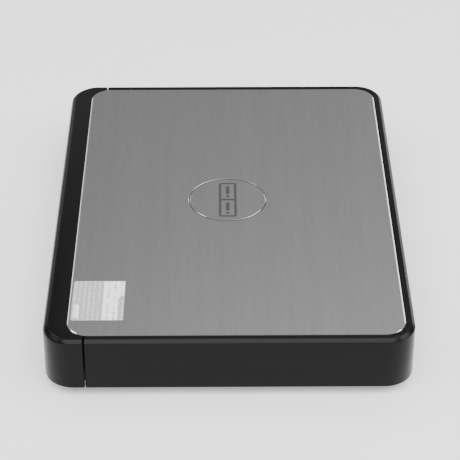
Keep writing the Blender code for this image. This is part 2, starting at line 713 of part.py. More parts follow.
def make_tray_lever(number, centre_x, plastic):
    """A flat handle on an upright pin, with a turned-out finger tab at its free end."""
    pin_x = centre_x + LEVER_PIN_OFFSET
    bm = bmesh.new()
    steps = 6
    knuckle = 1.8 * MM
    outline = []
    for i in range(steps + 1):
        angle = math.radians(90 + 180.0 * i / steps)
        outline.append((pin_x + knuckle * math.cos(angle), LEVER_PIN_Y + knuckle * math.sin(angle)))
    tip = pin_x + LEVER_REACH
    tab_start, tab_back = tip - 8.0 * MM, tip - 12.0 * MM
    tab_front, tab_thick, tab_rise = LEVER_PIN_Y - 3.2 * MM, 2.0 * MM, 0.4 * MM
    outline += [
        (tab_start, LEVER_PIN_Y - knuckle),
        (tip, tab_front),
        (tip, tab_front + tab_thick),
        (tab_start, LEVER_PIN_Y + tab_rise),
        (tab_back, LEVER_PIN_Y + knuckle),
    ]
    add_prism(bm, "Z", outline, LEVER_Z)
    origin = (pin_x, LEVER_PIN_Y, (LEVER_Z[0] + LEVER_Z[1]) / 2)
    lever = make_object(f"tray_{number}_lever", bm, plastic, origin, round_angle=40)
    hole = bmesh.new()
    bore = [(along, LEVER_BORE) for along in widened(LEVER_Z, OVERRUN)]
    add_turned(hole, "Z", (pin_x, LEVER_PIN_Y), bore, 12)
    combine(lever, "DIFFERENCE", hole)


def make_lever_pin(number, centre_x, steel):
    centre = (centre_x + LEVER_PIN_OFFSET, LEVER_PIN_Y)
    span = (10.5 * MM, 31.5 * MM)
    profile = [(along, LEVER_PIN_RADIUS) for along in span]
    turned_piece(f"tray_{number}_lever_pin", steel, "Z", centre, profile, 12)


def make_drive(number, centre_x, alloy):
    """A 3.5-inch drive: cast body, raised lid, board recess below, plug slot at the back."""
    x = (centre_x - DRIVE_HALF, centre_x + DRIVE_HALF)
    corner, lid_step, lid_inset = 3.0 * MM, 1.2 * MM, 1.2 * MM
    shoulder = DRIVE_Z[1] - lid_step
    bm = bmesh.new()
    rings = [
        at_height(round_rect(x, DRIVE_Y, corner, steps=2), DRIVE_Z[0]),
        at_height(round_rect(x, DRIVE_Y, corner, steps=2), shoulder),
        at_height(round_rect(x, DRIVE_Y, corner, lid_inset, steps=2), shoulder),
        at_height(round_rect(x, DRIVE_Y, corner, lid_inset + 0.2 * MM, steps=2), DRIVE_Z[1]),
    ]
    add_stack(bm, rings)
    drive = make_object(f"drive_{number}", bm, alloy)
    cuts = bmesh.new()
    margin, board_y, board_depth = 6.0 * MM, (-60.0 * MM, 40.0 * MM), 1.4 * MM
    below = DRIVE_Z[0] - OVERRUN
    add_box(cuts, (x[0] + margin, x[1] - margin), board_y, (below, DRIVE_Z[0] + board_depth))
    plug, plug_half = centre_x + DRIVE_PLUG_OFFSET, 20.0 * MM
    plug_front, plug_top = 44.0 * MM, 14.5 * MM
    add_box(cuts, (plug - plug_half, plug + plug_half), (plug_front, DRIVE_Y[1] + OVERRUN), (below, plug_top))
    hole_radius, hole_depth = 1.9 * MM, 5.5 * MM
    for side, y, _ in screw_sides(centre_x):
        face = centre_x + side * DRIVE_HALF
        span = sorted((face + side * OVERRUN, face - side * hole_depth))
        add_turned(cuts, "X", (y, DRIVE_SCREW_Z), [(along, hole_radius) for along in span], 10)
    combine(drive, "DIFFERENCE", cuts)


def make_tray_screws(number, centre_x, steel):
    sunk, head_radius, head_depth, head_edge = 0.1 * MM, 3.3 * MM, 1.3 * MM, 0.4 * MM
    shank, tip_radius, tip_taper = 6.0 * MM, 1.0 * MM, 0.6 * MM
    for index, (side, y, face) in enumerate(screw_sides(centre_x)):
        outer = face - side * sunk
        neck = outer - side * head_depth
        tip = neck - side * shank
        profile = [(outer, head_radius - head_edge), (outer - side * head_edge, head_radius)]
        profile += [(neck, head_radius), (neck, DRIVE_SCREW_RADIUS)]
        profile += [(tip + side * tip_taper, DRIVE_SCREW_RADIUS), (tip, tip_radius)]
        if side > 0:
            profile.reverse()
        name = f"tray_{number}_screw_{index + 1}"
        turned_piece(name, steel, "X", (y, DRIVE_SCREW_Z), profile, 12)


# ---------------------------------------------------------------- boards
def make_sata_socket(number, centre_x, plastic):
    plug = centre_x + DRIVE_PLUG_OFFSET
    body_half, body_y, body_z = 21.0 * MM, (52.0 * MM, BACKPLANE_Y[0] - CLEARANCE), (8.4 * MM, 15.0 * MM)
    nose_half, nose_y, nose_z = 19.0 * MM, (46.5 * MM, 53.0 * MM), (9.6 * MM, 13.9 * MM)
    body_x = (plug - body_half, plug + body_half)
    socket = simple_block(f"sata_socket_{number}", plastic, body_x, body_y, body_z)
    nose = bmesh.new()
    add_box(nose, (plug - nose_half, plug + nose_half), nose_y, nose_z)
    combine(socket, "UNION", nose)


def make_port_block(name, metal, x, width, depth, height, face=PORT_FACE):
    """The shell of a jack, from its face back onto the board."""
    across = (x - width / 2, x + width / 2)
    return simple_block(name, metal, across, (face - depth, face), (ON_BOARD, ON_BOARD + height))


def make_lan_jack(metal):
    shell_depth = 21.3 * MM
    mouth_half, mouth_depth, mouth_z = 5.95 * MM, 13.0 * MM, (13.0 * MM, 21.2 * MM)
    catch_half, catch_depth, catch_z = 3.0 * MM, 9.0 * MM, (20.0 * MM, 23.2 * MM)
    lan = make_port_block("lan_jack", metal, LAN_X, LAN_WIDTH, shell_depth, LAN_HEIGHT)
    cavity = bmesh.new()
    out = PORT_FACE + OVERRUN
    add_box(cavity, (LAN_X - mouth_half, LAN_X + mouth_half), (PORT_FACE - mouth_depth, out), mouth_z)
    add_box(cavity, (LAN_X - catch_half, LAN_X + catch_half), (PORT_FACE - catch_depth, out), catch_z)
    combine(lan, "DIFFERENCE", cavity, overlapping=True)


def make_usb_ports(metal):
    shell_depth, pocket_depth, recess = 17.5 * MM, 11.0 * MM, 1.0 * MM
    pocket_half, pocket_height = 6.4 * MM, 5.2 * MM
    tongue_half, tongue_root, tongue_rise = 5.6 * MM, 0.5 * MM, (2.6 * MM, 4.6 * MM)
    port_lows = (ON_BOARD + 1.4 * MM, ON_BOARD + 9.0 * MM)
    for name, x in USB_X.items():
        stack = make_port_block(name, metal, x, USB_WIDTH, shell_depth, USB_HEIGHT)
        pockets = bmesh.new()
        tongues = bmesh.new()
        for port_low in port_lows:
            span = (PORT_FACE - pocket_depth, PORT_FACE + OVERRUN)
            pocket_z = (port_low, port_low + pocket_height)
            add_box(pockets, (x - pocket_half, x + pocket_half), span, pocket_z)
            reach = (PORT_FACE - pocket_depth - tongue_root, PORT_FACE - recess)
            shelf = (port_low + tongue_rise[0], port_low + tongue_rise[1])
            add_box(tongues, (x - tongue_half, x + tongue_half), reach, shelf)
        combine(stack, "DIFFERENCE", pockets)
        combine(stack, "UNION", tongues)


def make_dc_jack(plastic):
    width, depth, height, face = 9.0 * MM, 14.4 * MM, 11.0 * MM, PANEL_Y[0] - CLEARANCE
    bore_radius, bore_depth = 3.2 * MM, 10.0 * MM
    pin_radius, pin_root, pin_tip = 1.05 * MM, 11.0 * MM, 1.5 * MM
    jack = make_port_block("dc_jack", plastic, DC_X, width, depth, height, face)
    bore = bmesh.new()
    bore_profile = [(face - bore_depth, bore_radius), (face + OVERRUN, bore_radius)]
    add_turned(bore, "Y", (DC_X, DC_Z), bore_profile, 20)
    combine(jack, "DIFFERENCE", bore)
    pin = bmesh.new()
    add_turned(pin, "Y", (DC_X, DC_Z), [(face - pin_root, pin_radius), (face - pin_tip, pin_radius)], 12)
    combine(jack, "UNION", pin)


def make_main_board(laminate):
    board = simple_block("main_board", laminate, (-BOARD_HALF_X, BOARD_HALF_X), BOARD_Y, BOARD_Z)
    holes = bmesh.new()
    post_hole = 1.75 * MM
    for x, y in BOARD_POST_PLACES:
        profile = [(along, post_hole) for along in widened(BOARD_Z, OVERRUN)]
        add_turned(holes, "Z", (x * MM, y * MM), profile, 12)
    combine(board, "DIFFERENCE", holes)


def make_heat_sink(alloy):
    low, base_top, fin_top = 13.9 * MM, 16.4 * MM, 33.5 * MM
    left, pitch, fin, count = 62.0 * MM, 5.0 * MM, 1.6 * MM, 10
    along = (64.0 * MM, 99.0 * MM)
    outline = [(left, low), (left + pitch * (count - 1) + fin, low)]
    for i in reversed(range(count)):
        x = left + pitch * i
        outline += [(x + fin, fin_top), (x, fin_top)]
        if i:
            outline += [(x, base_top), (x - pitch + fin, base_top)]
    bm = bmesh.new()
    add_prism(bm, "Y", outline, along)
    make_object("heat_sink", bm, alloy)


def make_ribbon(name, film, x, route):
    """A flat cable: a strip of even thickness along a route of (y, z) points."""
    thickness = 0.6 * MM
    upper, lower = [], []
    for i, (y, z) in enumerate(route):
        before = route[max(i - 1, 0)]
        after = route[min(i + 1, len(route) - 1)]
        run, rise = after[0] - before[0], after[1] - before[1]
        length = math.hypot(run, rise)
        step_y, step_z = -rise / length * thickness / 2, run / length * thickness / 2
        upper.append((y + step_y, z + step_z))
        lower.append((y - step_y, z - step_z))
    bm = bmesh.new()
    around = upper + lower[::-1]
    rows = [[bm.verts.new((px, py, pz)) for py, pz in around] for px in x]
    count = len(rows[0])
    half = count // 2
    for i in range(count):
        bm.faces.new((rows[0][i], rows[0][(i + 1) % count], rows[1][(i + 1) % count], rows[1][i]))
    for row in rows:
        for i in range(half - 1):
            bm.faces.new((row[i], row[i + 1], row[count - 2 - i], row[count - 1 - i]))
    make_object(name, bm, film)


def make_coin_cell(plastic, steel):
    outer, well_radius, holder_height, floor = 11.4 * MM, 10.3 * MM, 4.2 * MM, 1.0 * MM
    cell_radius, cell_edge, cell_height = 10.0 * MM, 1.0 * MM, 3.2 * MM
    profile = [(ON_BOARD, outer), (ON_BOARD + holder_height, outer)]
    holder = turned_piece("coin_cell_holder", plastic, "Z", COIN_CELL_PLACE, profile, 24)
    well = bmesh.new()
    well_profile = [(ON_BOARD + floor, well_radius), (ON_BOARD + holder_height + OVERRUN, well_radius)]
    add_turned(well, "Z", COIN_CELL_PLACE, well_profile, 24)
    combine(holder, "DIFFERENCE", well)
    base = ON_BOARD + floor + CLEARANCE
    profile = [(base, cell_radius - cell_edge), (base, cell_radius), (base + cell_height, cell_radius)]
    turned_piece("coin_cell", steel, "Z", COIN_CELL_PLACE, profile, 24)


def make_buzzer(plastic):
    radius, top, port_radius, port_low = 6.0 * MM, 19.0 * MM, 1.3 * MM, 17.5 * MM
    profile = [(ON_BOARD, radius), (top, radius)]
    buzzer = turned_piece("buzzer", plastic, "Z", BUZZER_PLACE, profile, 20)
    port = bmesh.new()
    add_turned(port, "Z", BUZZER_PLACE, [(port_low, port_radius), (top + OVERRUN, port_radius)], 12)
    combine(buzzer, "DIFFERENCE", port)


def make_board_parts(laminate, plastic, chip, film):
    """The plain blocks that stand on, or between, the boards."""
    backplane_x, backplane_z = (-110.0 * MM, 110.0 * MM), (7.0 * MM, 36.0 * MM)
    simple_block("backplane", laminate, backplane_x, BACKPLANE_Y, backplane_z)
    link_x, link_top = (-22.0 * MM, 22.0 * MM), 16.5 * MM
    link_y = (BACKPLANE_Y[1] + CLEARANCE, 64.5 * MM)
    simple_block("board_link", plastic, link_x, link_y, (ON_BOARD, link_top))
    chip_x, chip_y, chip_top, chip_edge = (76.0 * MM, 96.0 * MM), (71.0 * MM, 91.0 * MM), 13.0 * MM, 0.3 * MM
    simple_block("processor", chip, chip_x, chip_y, (ON_BOARD, chip_top), chip_edge)
    pad_inset, pad_z = -1.0 * MM, (13.1 * MM, 13.8 * MM)
    simple_block("thermal_pad", film, widened(chip_x, pad_inset), widened(chip_y, pad_inset), pad_z)
    memory_x, memory_y, memory_top = (-8.5 * MM, 59.1 * MM), (68.0 * MM, 98.0 * MM), 14.7 * MM
    simple_block("memory_module", laminate, memory_x, memory_y, (ON_BOARD, memory_top))


def make_cables(film):
    """Two flat cables that run along the floor and climb behind the backplane to the board."""
    rise_y, under_board_z, on_board_z = 61.5 * MM, 10.5 * MM, 13.5 * MM
    climb = [(52.0 * MM, CABLE_FLOOR), (rise_y - 4.0 * MM, under_board_z)]
    climb += [(rise_y, on_board_z), (rise_y + 6.0 * MM, on_board_z)]
    led_x, led_plug_z = (115.0 * MM, 123.0 * MM), 12.0 * MM
    led_route = [(-94.8 * MM, led_plug_z), (-80.0 * MM, led_plug_z), (-76.0 * MM, 9.0 * MM)]
    led_route += [(-72.0 * MM, CABLE_FLOOR)] + climb
    make_ribbon("led_cable", film, led_x, led_route)
    sd_x, sd_plug_z = (-123.0 * MM, -115.0 * MM), 13.9 * MM
    sd_route = [(-12.0 * MM, sd_plug_z), (-6.0 * MM, sd_plug_z), (0.0, 9.0 * MM)]
    sd_route += [(5.0 * MM, CABLE_FLOOR)] + climb
    make_ribbon("sd_cable", film, sd_x, sd_route)


def make_led_board(laminate, brass):
    """The indicator board: five lamps in a row, and the power switch above them."""
    face, thickness = LED_BOARD_FACE, 1.4 * MM
    board_x, board_z = (112.0 * MM, 140.0 * MM), (9.0 * MM, 34.0 * MM)
    board = simple_block("led_board", laminate, board_x, (face, face + thickness), board_z)
    lamps = bmesh.new()
    lamp_left, lamp_right, lamp_front, lamp_root = 0.5 * MM, 1.1 * MM, 1.0 * MM, 0.5 * MM
    lamp_z = (13.2 * MM, 14.8 * MM)
    for lamp in range(LAMP_COUNT):
        x = FIRST_LAMP_X + LAMP_PITCH * lamp
        add_box(lamps, (x - lamp_left, x + lamp_right), (face - lamp_front, face + lamp_root), lamp_z)
    combine(board, "UNION", lamps)
    half, switch_y = 3.0 * MM, (-100.4 * MM, face - 0.2 * MM)
    switch_x, switch_z = (POWER_X - half, POWER_X + half), (POWER_Z - half, POWER_Z + half)
    switch = simple_block("power_switch", brass, switch_x, switch_y, switch_z)
    plunger = bmesh.new()
    plunger_radius, plunger_y = 1.5 * MM, (-101.0 * MM, -99.0 * MM)
    add_turned(plunger, "Y", (POWER_X, POWER_Z), [(along, plunger_radius) for along in plunger_y], 12)
    combine(switch, "UNION", plunger)


def make_card_reader(laminate, steel, chip):
    """The card reader board in the left margin, with its socket and the copy switch."""
    board_x, board_y = (-146.0 * MM, -113.5 * MM), (-66.0 * MM, -14.0 * MM)
    simple_block("sd_board", laminate, board_x, board_y, READER_BOARD_Z)
    on_reader = READER_BOARD_Z[1] + CLEARANCE
    socket_x, socket_y, socket_top = (-147.0 * MM, -118.0 * MM), (-64.0 * MM, -34.0 * MM), 19.4 * MM
    socket = simple_block("sd_socket", steel, socket_x, socket_y, (on_reader, socket_top))
    slot = bmesh.new()
    slot_x, slot_half, slot_z = (-148.0 * MM, -121.0 * MM), 12.2 * MM, (16.4 * MM, 18.9 * MM)
    add_box(slot, slot_x, (CARD_Y - slot_half, CARD_Y + slot_half), slot_z)
    combine(socket, "DIFFERENCE", slot)
    half, switch_x, switch_top = 3.0 * MM, (-141.2 * MM, -135.0 * MM), 21.9 * MM
    switch_y = (COPY_Y - half, COPY_Y + half)
    switch = simple_block("copy_switch", chip, switch_x, switch_y, (on_reader, switch_top))
    plunger = bmesh.new()
    plunger_radius, plunger_x = 1.5 * MM, (-141.8 * MM, -139.0 * MM)
    add_turned(plunger, "X", (COPY_Y, COPY_Z), [(along, plunger_radius) for along in plunger_x], 12)
    combine(switch, "UNION", plunger)


def make_copy_button(plastic):
    edge, flange_radius, stem_radius = 0.4 * MM, 4.4 * MM, 1.5 * MM
    face, flange_front, flange_back, stem_end = -150.9 * MM, -148.2 * MM, -147.2 * MM, -142.9 * MM
    profile = [
        (face, COPY_RADIUS - edge),
        (face + edge, COPY_RADIUS),
        (flange_front, COPY_RADIUS),
        (flange_front, flange_radius),
        (flange_back, flange_radius),
        (flange_back, stem_radius),
        (stem_end, stem_radius),
    ]
    turned_piece("copy_button", plastic, "X", (COPY_Y, COPY_Z), profile, 20, (face, COPY_Y, COPY_Z))


def make_reset(plastic, chip):
    half, switch_y = 3.0 * MM, (95.0 * MM, 100.9 * MM)
    switch_x, switch_z = (RESET_X - half, RESET_X + half), (ON_BOARD, RESET_Z + half)
    switch = simple_block("reset_switch", chip, switch_x, switch_y, switch_z)
    plunger = bmesh.new()
    plunger_radius, plunger_y = 1.2 * MM, (99.5 * MM, 101.4 * MM)
    add_turned(plunger, "Y", (RESET_X, RESET_Z), [(along, plunger_radius) for along in plunger_y], 10)
    combine(switch, "UNION", plunger)
    tail_radius, flange_radius, button_radius = 1.1 * MM, 2.7 * MM, 1.5 * MM
    tail, flange_back, flange_front, face = 102.3 * MM, 104.3 * MM, 105.5 * MM, 107.2 * MM
    profile = [
        (tail, tail_radius),
        (flange_back, tail_radius),
        (flange_back, flange_radius),
        (flange_front, flange_radius),
        (flange_front, button_radius),
        (face, button_radius),
    ]
    place = (RESET_X, RESET_Z)
    turned_piece("reset_button", plastic, "Y", place, profile, 12, (RESET_X, face, RESET_Z))


def make_feet(rubber):
    edge = 1.0 * MM
    profile = [(0.0, FOOT_RADIUS - edge), (edge, FOOT_RADIUS), (FOOT_HEIGHT, FOOT_RADIUS)]
    for number, (x, y) in enumerate(FOOT_PLACES, start=1):
        turned_piece(f"foot_{number}", rubber, "Z", (x * MM, y * MM), profile, 24)


def make_case_screws(steel):
    head_low, head_edge, head_top = 3.5 * MM, 3.8 * MM, 5.0 * MM
    head_radius, head_inner = 3.0 * MM, 2.6 * MM
    shank_radius, shank_top, tip_radius, tip = 1.5 * MM, 14.5 * MM, 0.7 * MM, 15.5 * MM
    profile = [
        (head_low, head_inner),
        (head_edge, head_radius),
        (head_top, head_radius),
        (head_top, shank_radius),
        (shank_top, shank_radius),
        (tip, tip_radius),
    ]
    for number, (x, y) in enumerate(CASE_SCREW_PLACES, start=1):
        turned_piece(f"case_screw_{number}", steel, "Z", (x * MM, y * MM), profile, 14)


# ---------------------------------------------------------------- assembly
remove_everything()
casing_black = make_material("casing_black", (0.022, 0.022, 0.023), 0.38)
brushed_alloy = make_material("brushed_alloy", (0.36, 0.36, 0.365), 0.34, 1.0)
label_film = make_material("label_film", (0.85, 0.85, 0.86), 0.5)
inner_plastic = make_material("inner_plastic", (0.05, 0.05, 0.055), 0.5)
clear_guide = make_material("clear_guide", (0.75, 0.8, 0.85), 0.15)
zinc_sheet = make_material("zinc_sheet", (0.55, 0.56, 0.58), 0.38, 1.0)
dark_sheet = make_material("dark_sheet", (0.03, 0.03, 0.032), 0.45)
drive_alloy = make_material("drive_alloy", (0.5, 0.51, 0.53), 0.42, 1.0)
port_shell = make_material("port_shell", (0.7, 0.71, 0.73), 0.25, 1.0)
board_green = make_material("board_green", (0.02, 0.13, 0.06), 0.4)
chip_black = make_material("chip_black", (0.015, 0.015, 0.016), 0.45)
ribbon_film = make_material("ribbon_film", (0.78, 0.79, 0.8), 0.4)
foot_rubber = make_material("foot_rubber", (0.02, 0.02, 0.02), 0.85)
screw_steel = make_material("screw_steel", (0.42, 0.42, 0.44), 0.3, 1.0)
switch_metal = make_material("switch_metal", (0.6, 0.5, 0.3), 0.35, 1.0)

make_front_cover(casing_black)
make_indicator_window(clear_guide)
make_power_button(port_shell)
make_upper_case(casing_black)
make_top_plate(brushed_alloy)
make_info_label(label_film)
make_base_pan(inner_plastic)
make_rear_panel(dark_sheet)
make_front_bezel(inner_plastic)
make_drive_cage(zinc_sheet)
for bay, bay_centre in enumerate(BAY_CENTRES, start=1):
    make_tray(bay, bay_centre, inner_plastic)
    make_tray_lever(bay, bay_centre, casing_black)
    make_lever_pin(bay, bay_centre, screw_steel)
    make_drive(bay, bay_centre, drive_alloy)
    make_tray_screws(bay, bay_centre, screw_steel)
    make_sata_socket(bay, bay_centre, inner_plastic)
make_main_board(board_green)
make_board_parts(board_green, inner_plastic, chip_black, ribbon_film)
make_heat_sink(drive_alloy)
make_lan_jack(port_shell)
make_usb_ports(port_shell)
make_dc_jack(inner_plastic)
make_coin_cell(inner_plastic, port_shell)
make_buzzer(inner_plastic)
make_led_board(board_green, switch_metal)
make_card_reader(board_green, port_shell, chip_black)
make_reset(inner_plastic, chip_black)
make_cables(ribbon_film)
make_copy_button(casing_black)
make_feet(foot_rubber)
make_case_screws(screw_steel)
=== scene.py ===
import math

import bmesh
import bpy
import numpy as np
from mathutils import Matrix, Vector


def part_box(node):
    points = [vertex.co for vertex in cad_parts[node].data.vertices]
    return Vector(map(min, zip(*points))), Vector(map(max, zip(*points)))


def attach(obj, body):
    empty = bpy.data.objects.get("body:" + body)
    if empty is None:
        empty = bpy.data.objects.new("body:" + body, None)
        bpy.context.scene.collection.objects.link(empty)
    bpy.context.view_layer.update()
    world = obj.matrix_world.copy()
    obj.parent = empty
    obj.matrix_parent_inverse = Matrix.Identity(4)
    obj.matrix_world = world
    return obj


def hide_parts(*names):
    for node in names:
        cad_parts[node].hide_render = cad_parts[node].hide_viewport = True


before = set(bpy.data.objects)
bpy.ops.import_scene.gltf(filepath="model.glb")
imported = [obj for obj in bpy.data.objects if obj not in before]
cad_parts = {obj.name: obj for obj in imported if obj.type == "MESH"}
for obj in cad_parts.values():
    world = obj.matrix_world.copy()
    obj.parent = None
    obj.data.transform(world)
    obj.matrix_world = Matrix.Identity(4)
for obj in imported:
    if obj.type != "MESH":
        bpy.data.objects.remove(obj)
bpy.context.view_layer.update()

MM = 0.001

# ---------------------------------------------------------------- camera
# A long lens, over a metre away, looks down on the casing's right-hand end, so the front
# cover is on the left and the ports face away to the right.
aim = Vector((0.0, 1.5 * MM, 20.0 * MM))
eye = Vector((994.5 * MM, -5.5 * MM, 685.7 * MM))
camera_data = bpy.data.cameras.new("camera")
camera_data.lens = 142.7
camera_data.sensor_width = 36.0
camera_data.shift_y = -0.0078
camera_data.clip_start = 0.05
camera = bpy.data.objects.new("camera", camera_data)
camera.location = eye
camera.rotation_euler = (eye - aim).to_track_quat("Z", "Y").to_euler()
bpy.context.scene.collection.objects.link(camera)
bpy.context.scene.camera = camera

# ---------------------------------------------------------------- studio
# A wide white floor that glows a little, so that it stays white right up to the casing, a dim
# white surround, and large soft boxes that draw the highlights along the casing's edges.
world = bpy.data.worlds.new("studio_surround")
world.use_nodes = True
surround = world.node_tree.nodes["Background"]
surround.inputs["Color"].default_value = (1.0, 1.0, 1.0, 1.0)
surround.inputs["Strength"].default_value = 0.3
bpy.context.scene.world = world

floor_reach = 12.0
floor_mesh = bpy.data.meshes.new("studio_floor")
floor_corners = [(x * floor_reach, y * floor_reach, 0.0) for x, y in ((-1, -1), (1, -1), (1, 1), (-1, 1))]
floor_mesh.from_pydata(floor_corners, [], [(0, 1, 2, 3)])
floor_paint = bpy.data.materials.new("studio_floor")
floor_paint.use_nodes = True
floor_shader = floor_paint.node_tree.nodes["Principled BSDF"]
floor_shader.inputs["Base Color"].default_value = (0.9, 0.9, 0.9, 1.0)
floor_shader.inputs["Roughness"].default_value = 0.7
floor_shader.inputs["Emission Color"].default_value = (1.0, 1.0, 1.0, 1.0)
floor_shader.inputs["Emission Strength"].default_value = 0.45
floor_mesh.materials.append(floor_paint)
studio_floor = bpy.data.objects.new("studio_floor", floor_mesh)
bpy.context.scene.collection.objects.link(studio_floor)


def soft_box(name, place, width, height, watts):
    """An area light at place that faces the middle of the casing."""
    lamp = bpy.data.lights.new(name, "AREA")
    lamp.shape = "RECTANGLE"
    lamp.size = width
    lamp.size_y = height
    lamp.energy = watts
    box = bpy.data.objects.new(name, lamp)
    box.location = place
    box.rotation_euler = Vector(place).to_track_quat("Z", "Y").to_euler()
    bpy.context.scene.collection.objects.link(box)


soft_box("back_high_box", (-1.2, 0.35, 1.9), 1.3, 1.0, 9.5)
soft_box("camera_side_box", (1.2, 0.0, 2.1), 3.0, 1.6, 98.0)
soft_box("backdrop_box", (-1.9, 0.0, 1.0), 3.0, 0.25, 1.6)
soft_box("cover_side_box", (0.3, -1.9, 1.4), 1.3, 1.0, 12.0)
soft_box("port_side_box", (0.3, 1.9, 1.4), 1.3, 1.0, 26.0)
soft_box("cover_far_box", (-2.2, -1.25, 0.95), 1.0, 0.7, 2.6)
soft_box("port_far_box", (-2.2, 1.25, 0.95), 1.0, 0.7, 6.5)
soft_box("cover_corner_box", (-0.8, -1.0, 1.75), 0.7, 0.5, 7.0)
soft_box("port_corner_box", (-0.8, 1.0, 1.75), 0.7, 0.5, 4.0)

# ---------------------------------------------------------------- upper case
# One black moulding, 2.4 mm thick: side and back walls, a flat rim round the top plate and a
# deck for the plate to lie on. Its upper edge is a flat chamfer with softened edges, and its
# two front ends are bevelled where the front cover meets them.
case_low, case_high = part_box("upper_case")
plate_low, plate_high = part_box("top_plate")
HALF_X = case_high.x
FRONT_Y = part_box("front_cover")[0].y
BACK_Y = case_high.y
CORNER = 18.0 * MM
WALL = 2.4 * MM
SHELL_BOTTOM = case_low.z
RIM_TOP = case_high.z
EDGE_CHAMFER = 2.0 * MM
PLATE_CORNER = 13.0 * MM
PLATE_GAP = 0.25 * MM
RIM_WIDTH = HALF_X - plate_high.x - PLATE_GAP
CLEARANCE = 0.3 * MM
OVERRUN = 1.0 * MM
DECK_TOP = plate_low.z - CLEARANCE
DECK_BOTTOM = DECK_TOP - 1.4 * MM
DECK_REACH = 16.0 * MM
DECK_SKIN = 0.05 * MM
DECK_OVERLAP = 0.5 * MM
SEAM_BEVEL = 0.59 * MM
SEAM_HALF_GAP = 0.4 * MM
PORT_OPENING_MIDDLE = (0.0, 23.0 * MM)
PORT_OPENING_HALF = (128.0 * MM, 13.5 * MM)
CARD_SLOT_HALF = (13.2 * MM, 1.5 * MM)
COPY_HOLE_RADIUS = 3.5 * MM
HALF_TURN = math.tan(math.radians(22.5))
SHARP = 32.0


def arc(centre, radius, start, end, count):
    """Points along a circular arc, with the outward direction at each: centre plus radius
    times the direction (cos a, sin a), for count + 1 even steps of a from start to end."""
    a = np.radians(np.linspace(start, end, count + 1))
    out = np.column_stack([np.cos(a), np.sin(a)])
    return np.asarray(centre) + radius * out, out


def straight(start, end, count):
    """Points evenly along a line, with the direction to the right of travel at each."""
    start, end = np.asarray(start, float), np.asarray(end, float)
    along = (end - start) / np.linalg.norm(end - start)
    points = start + (end - start) * np.linspace(0.0, 1.0, count + 1)[:, None]
    return points, np.tile((along[1], -along[0]), (count + 1, 1))


def joined(*legs):
    """Legs of one path end to end. Each leg after the first gives up its first point, which
    in a continuous path repeats the last one."""
    points = [legs[0][0]] + [leg[0][1:] for leg in legs[1:]]
    out = [legs[0][1]] + [leg[1][1:] for leg in legs[1:]]
    return np.concatenate(points), np.concatenate(out)


def at_height(points, height):
    """Points in plan given a height: one for all of them, or one for each."""
    return np.column_stack([points, np.broadcast_to(height, len(points))])


def along_axis(axis, along, u, v):
    """X, Y and Z from a distance along the named axis and the other two, in their order."""
    return np.stack({"X": (along, u, v), "Y": (u, along, v), "Z": (u, v, along)}[axis], axis=-1)


def rounded_loops(corners, radii, steps=4):
    """Rounds the corners of closed polygons. corners is (loops, corners, 3) and radii is
    (loops, corners). At each corner an arc of that radius touches both sides: it starts
    radius / tan(half the angle) before the corner and turns about a centre on the bisector.
    Every corner gives steps + 1 points, so all loops match point to point."""
    before = np.roll(corners, 1, axis=1) - corners
    after = np.roll(corners, -1, axis=1) - corners
    before /= np.linalg.norm(before, axis=2, keepdims=True)
    after /= np.linalg.norm(after, axis=2, keepdims=True)
    half = np.arccos(np.clip((before * after).sum(axis=2), -1.0, 1.0)) / 2.0
    bisector = before + after
    bisector /= np.linalg.norm(bisector, axis=2, keepdims=True)
    centre = corners + bisector * (radii / np.sin(half))[..., None]
    first = corners + before * (radii / np.tan(half))[..., None] - centre
    last = corners + after * (radii / np.tan(half))[..., None] - centre
    swing = math.pi - 2.0 * half
    rows = []
    for step in range(steps + 1):
        share = step / steps
        keep = (np.sin((1.0 - share) * swing) / np.sin(swing))[..., None]
        take = (np.sin(share * swing) / np.sin(swing))[..., None]
        rows.append(centre + keep * first + take * last)
    stacked = np.stack(rows, axis=2)
    return stacked.reshape(corners.shape[0], -1, 3)


def skin_faces(rows, columns):
    """Quads over a grid of points stored row by row, each row closed on itself."""
    i, j = np.meshgrid(np.arange(rows - 1), np.arange(columns), indexing="ij")
    i, j = i.ravel(), j.ravel()
    up, right = i + 1, (j + 1) % columns
    quads = np.column_stack([i * columns + j, up * columns + j, up * columns + right, i * columns + right])
    return [tuple(quad) for quad in quads.tolist()]


def outward_mesh(name, points, faces, sharp):
    """A merged, smooth-shaded mesh, turned inside out if its volume comes out negative."""
    mesh = bpy.data.meshes.new(name)
    mesh.from_pydata(np.asarray(points, float).tolist(), [], faces)
    bm = bmesh.new()
    bm.from_mesh(mesh)
    bmesh.ops.remove_doubles(bm, verts=bm.verts, dist=1e-6)
    bmesh.ops.dissolve_degenerate(bm, edges=bm.edges, dist=1e-7)
    if bm.calc_volume(signed=True) < 0.0:
        bmesh.ops.reverse_faces(bm, faces=bm.faces)
    bm.to_mesh(mesh)
    bm.free()
    mesh.shade_smooth()
    mesh.set_sharp_from_angle(angle=math.radians(sharp))
    return mesh


def loft(name, loops, sharp=SHARP):
    """A skin through closed loops of points, with its two ends filled flat."""
    count, width = loops.shape[:2]
    faces = skin_faces(count, width)
    faces.append(tuple(range(width)))
    faces.append(tuple(reversed(range((count - 1) * width, count * width))))
    return outward_mesh(name, loops.reshape(-1, 3), faces, sharp)


def box_mesh(name, low, high):
    """A rectangular block between two corners."""
    (x0, y0, z0), (x1, y1, z1) = low, high
    ring = [(x0, y0), (x1, y0), (x1, y1), (x0, y1)]
    loops = np.array([[(x, y, z) for x, y in ring] for z in (z0, z1)], float)
    return loft(name, loops)


def add_piece(mesh, material, body, *nodes):
    """Puts a mesh in the scene, gives it its material and body, and hides the model nodes it stands for."""
    piece = bpy.data.objects.new(mesh.name, mesh)
    bpy.context.scene.collection.objects.link(piece)
    if not mesh.materials:
        mesh.materials.append(material)
    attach(piece, body)
    if nodes:
        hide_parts(*nodes)
    return piece


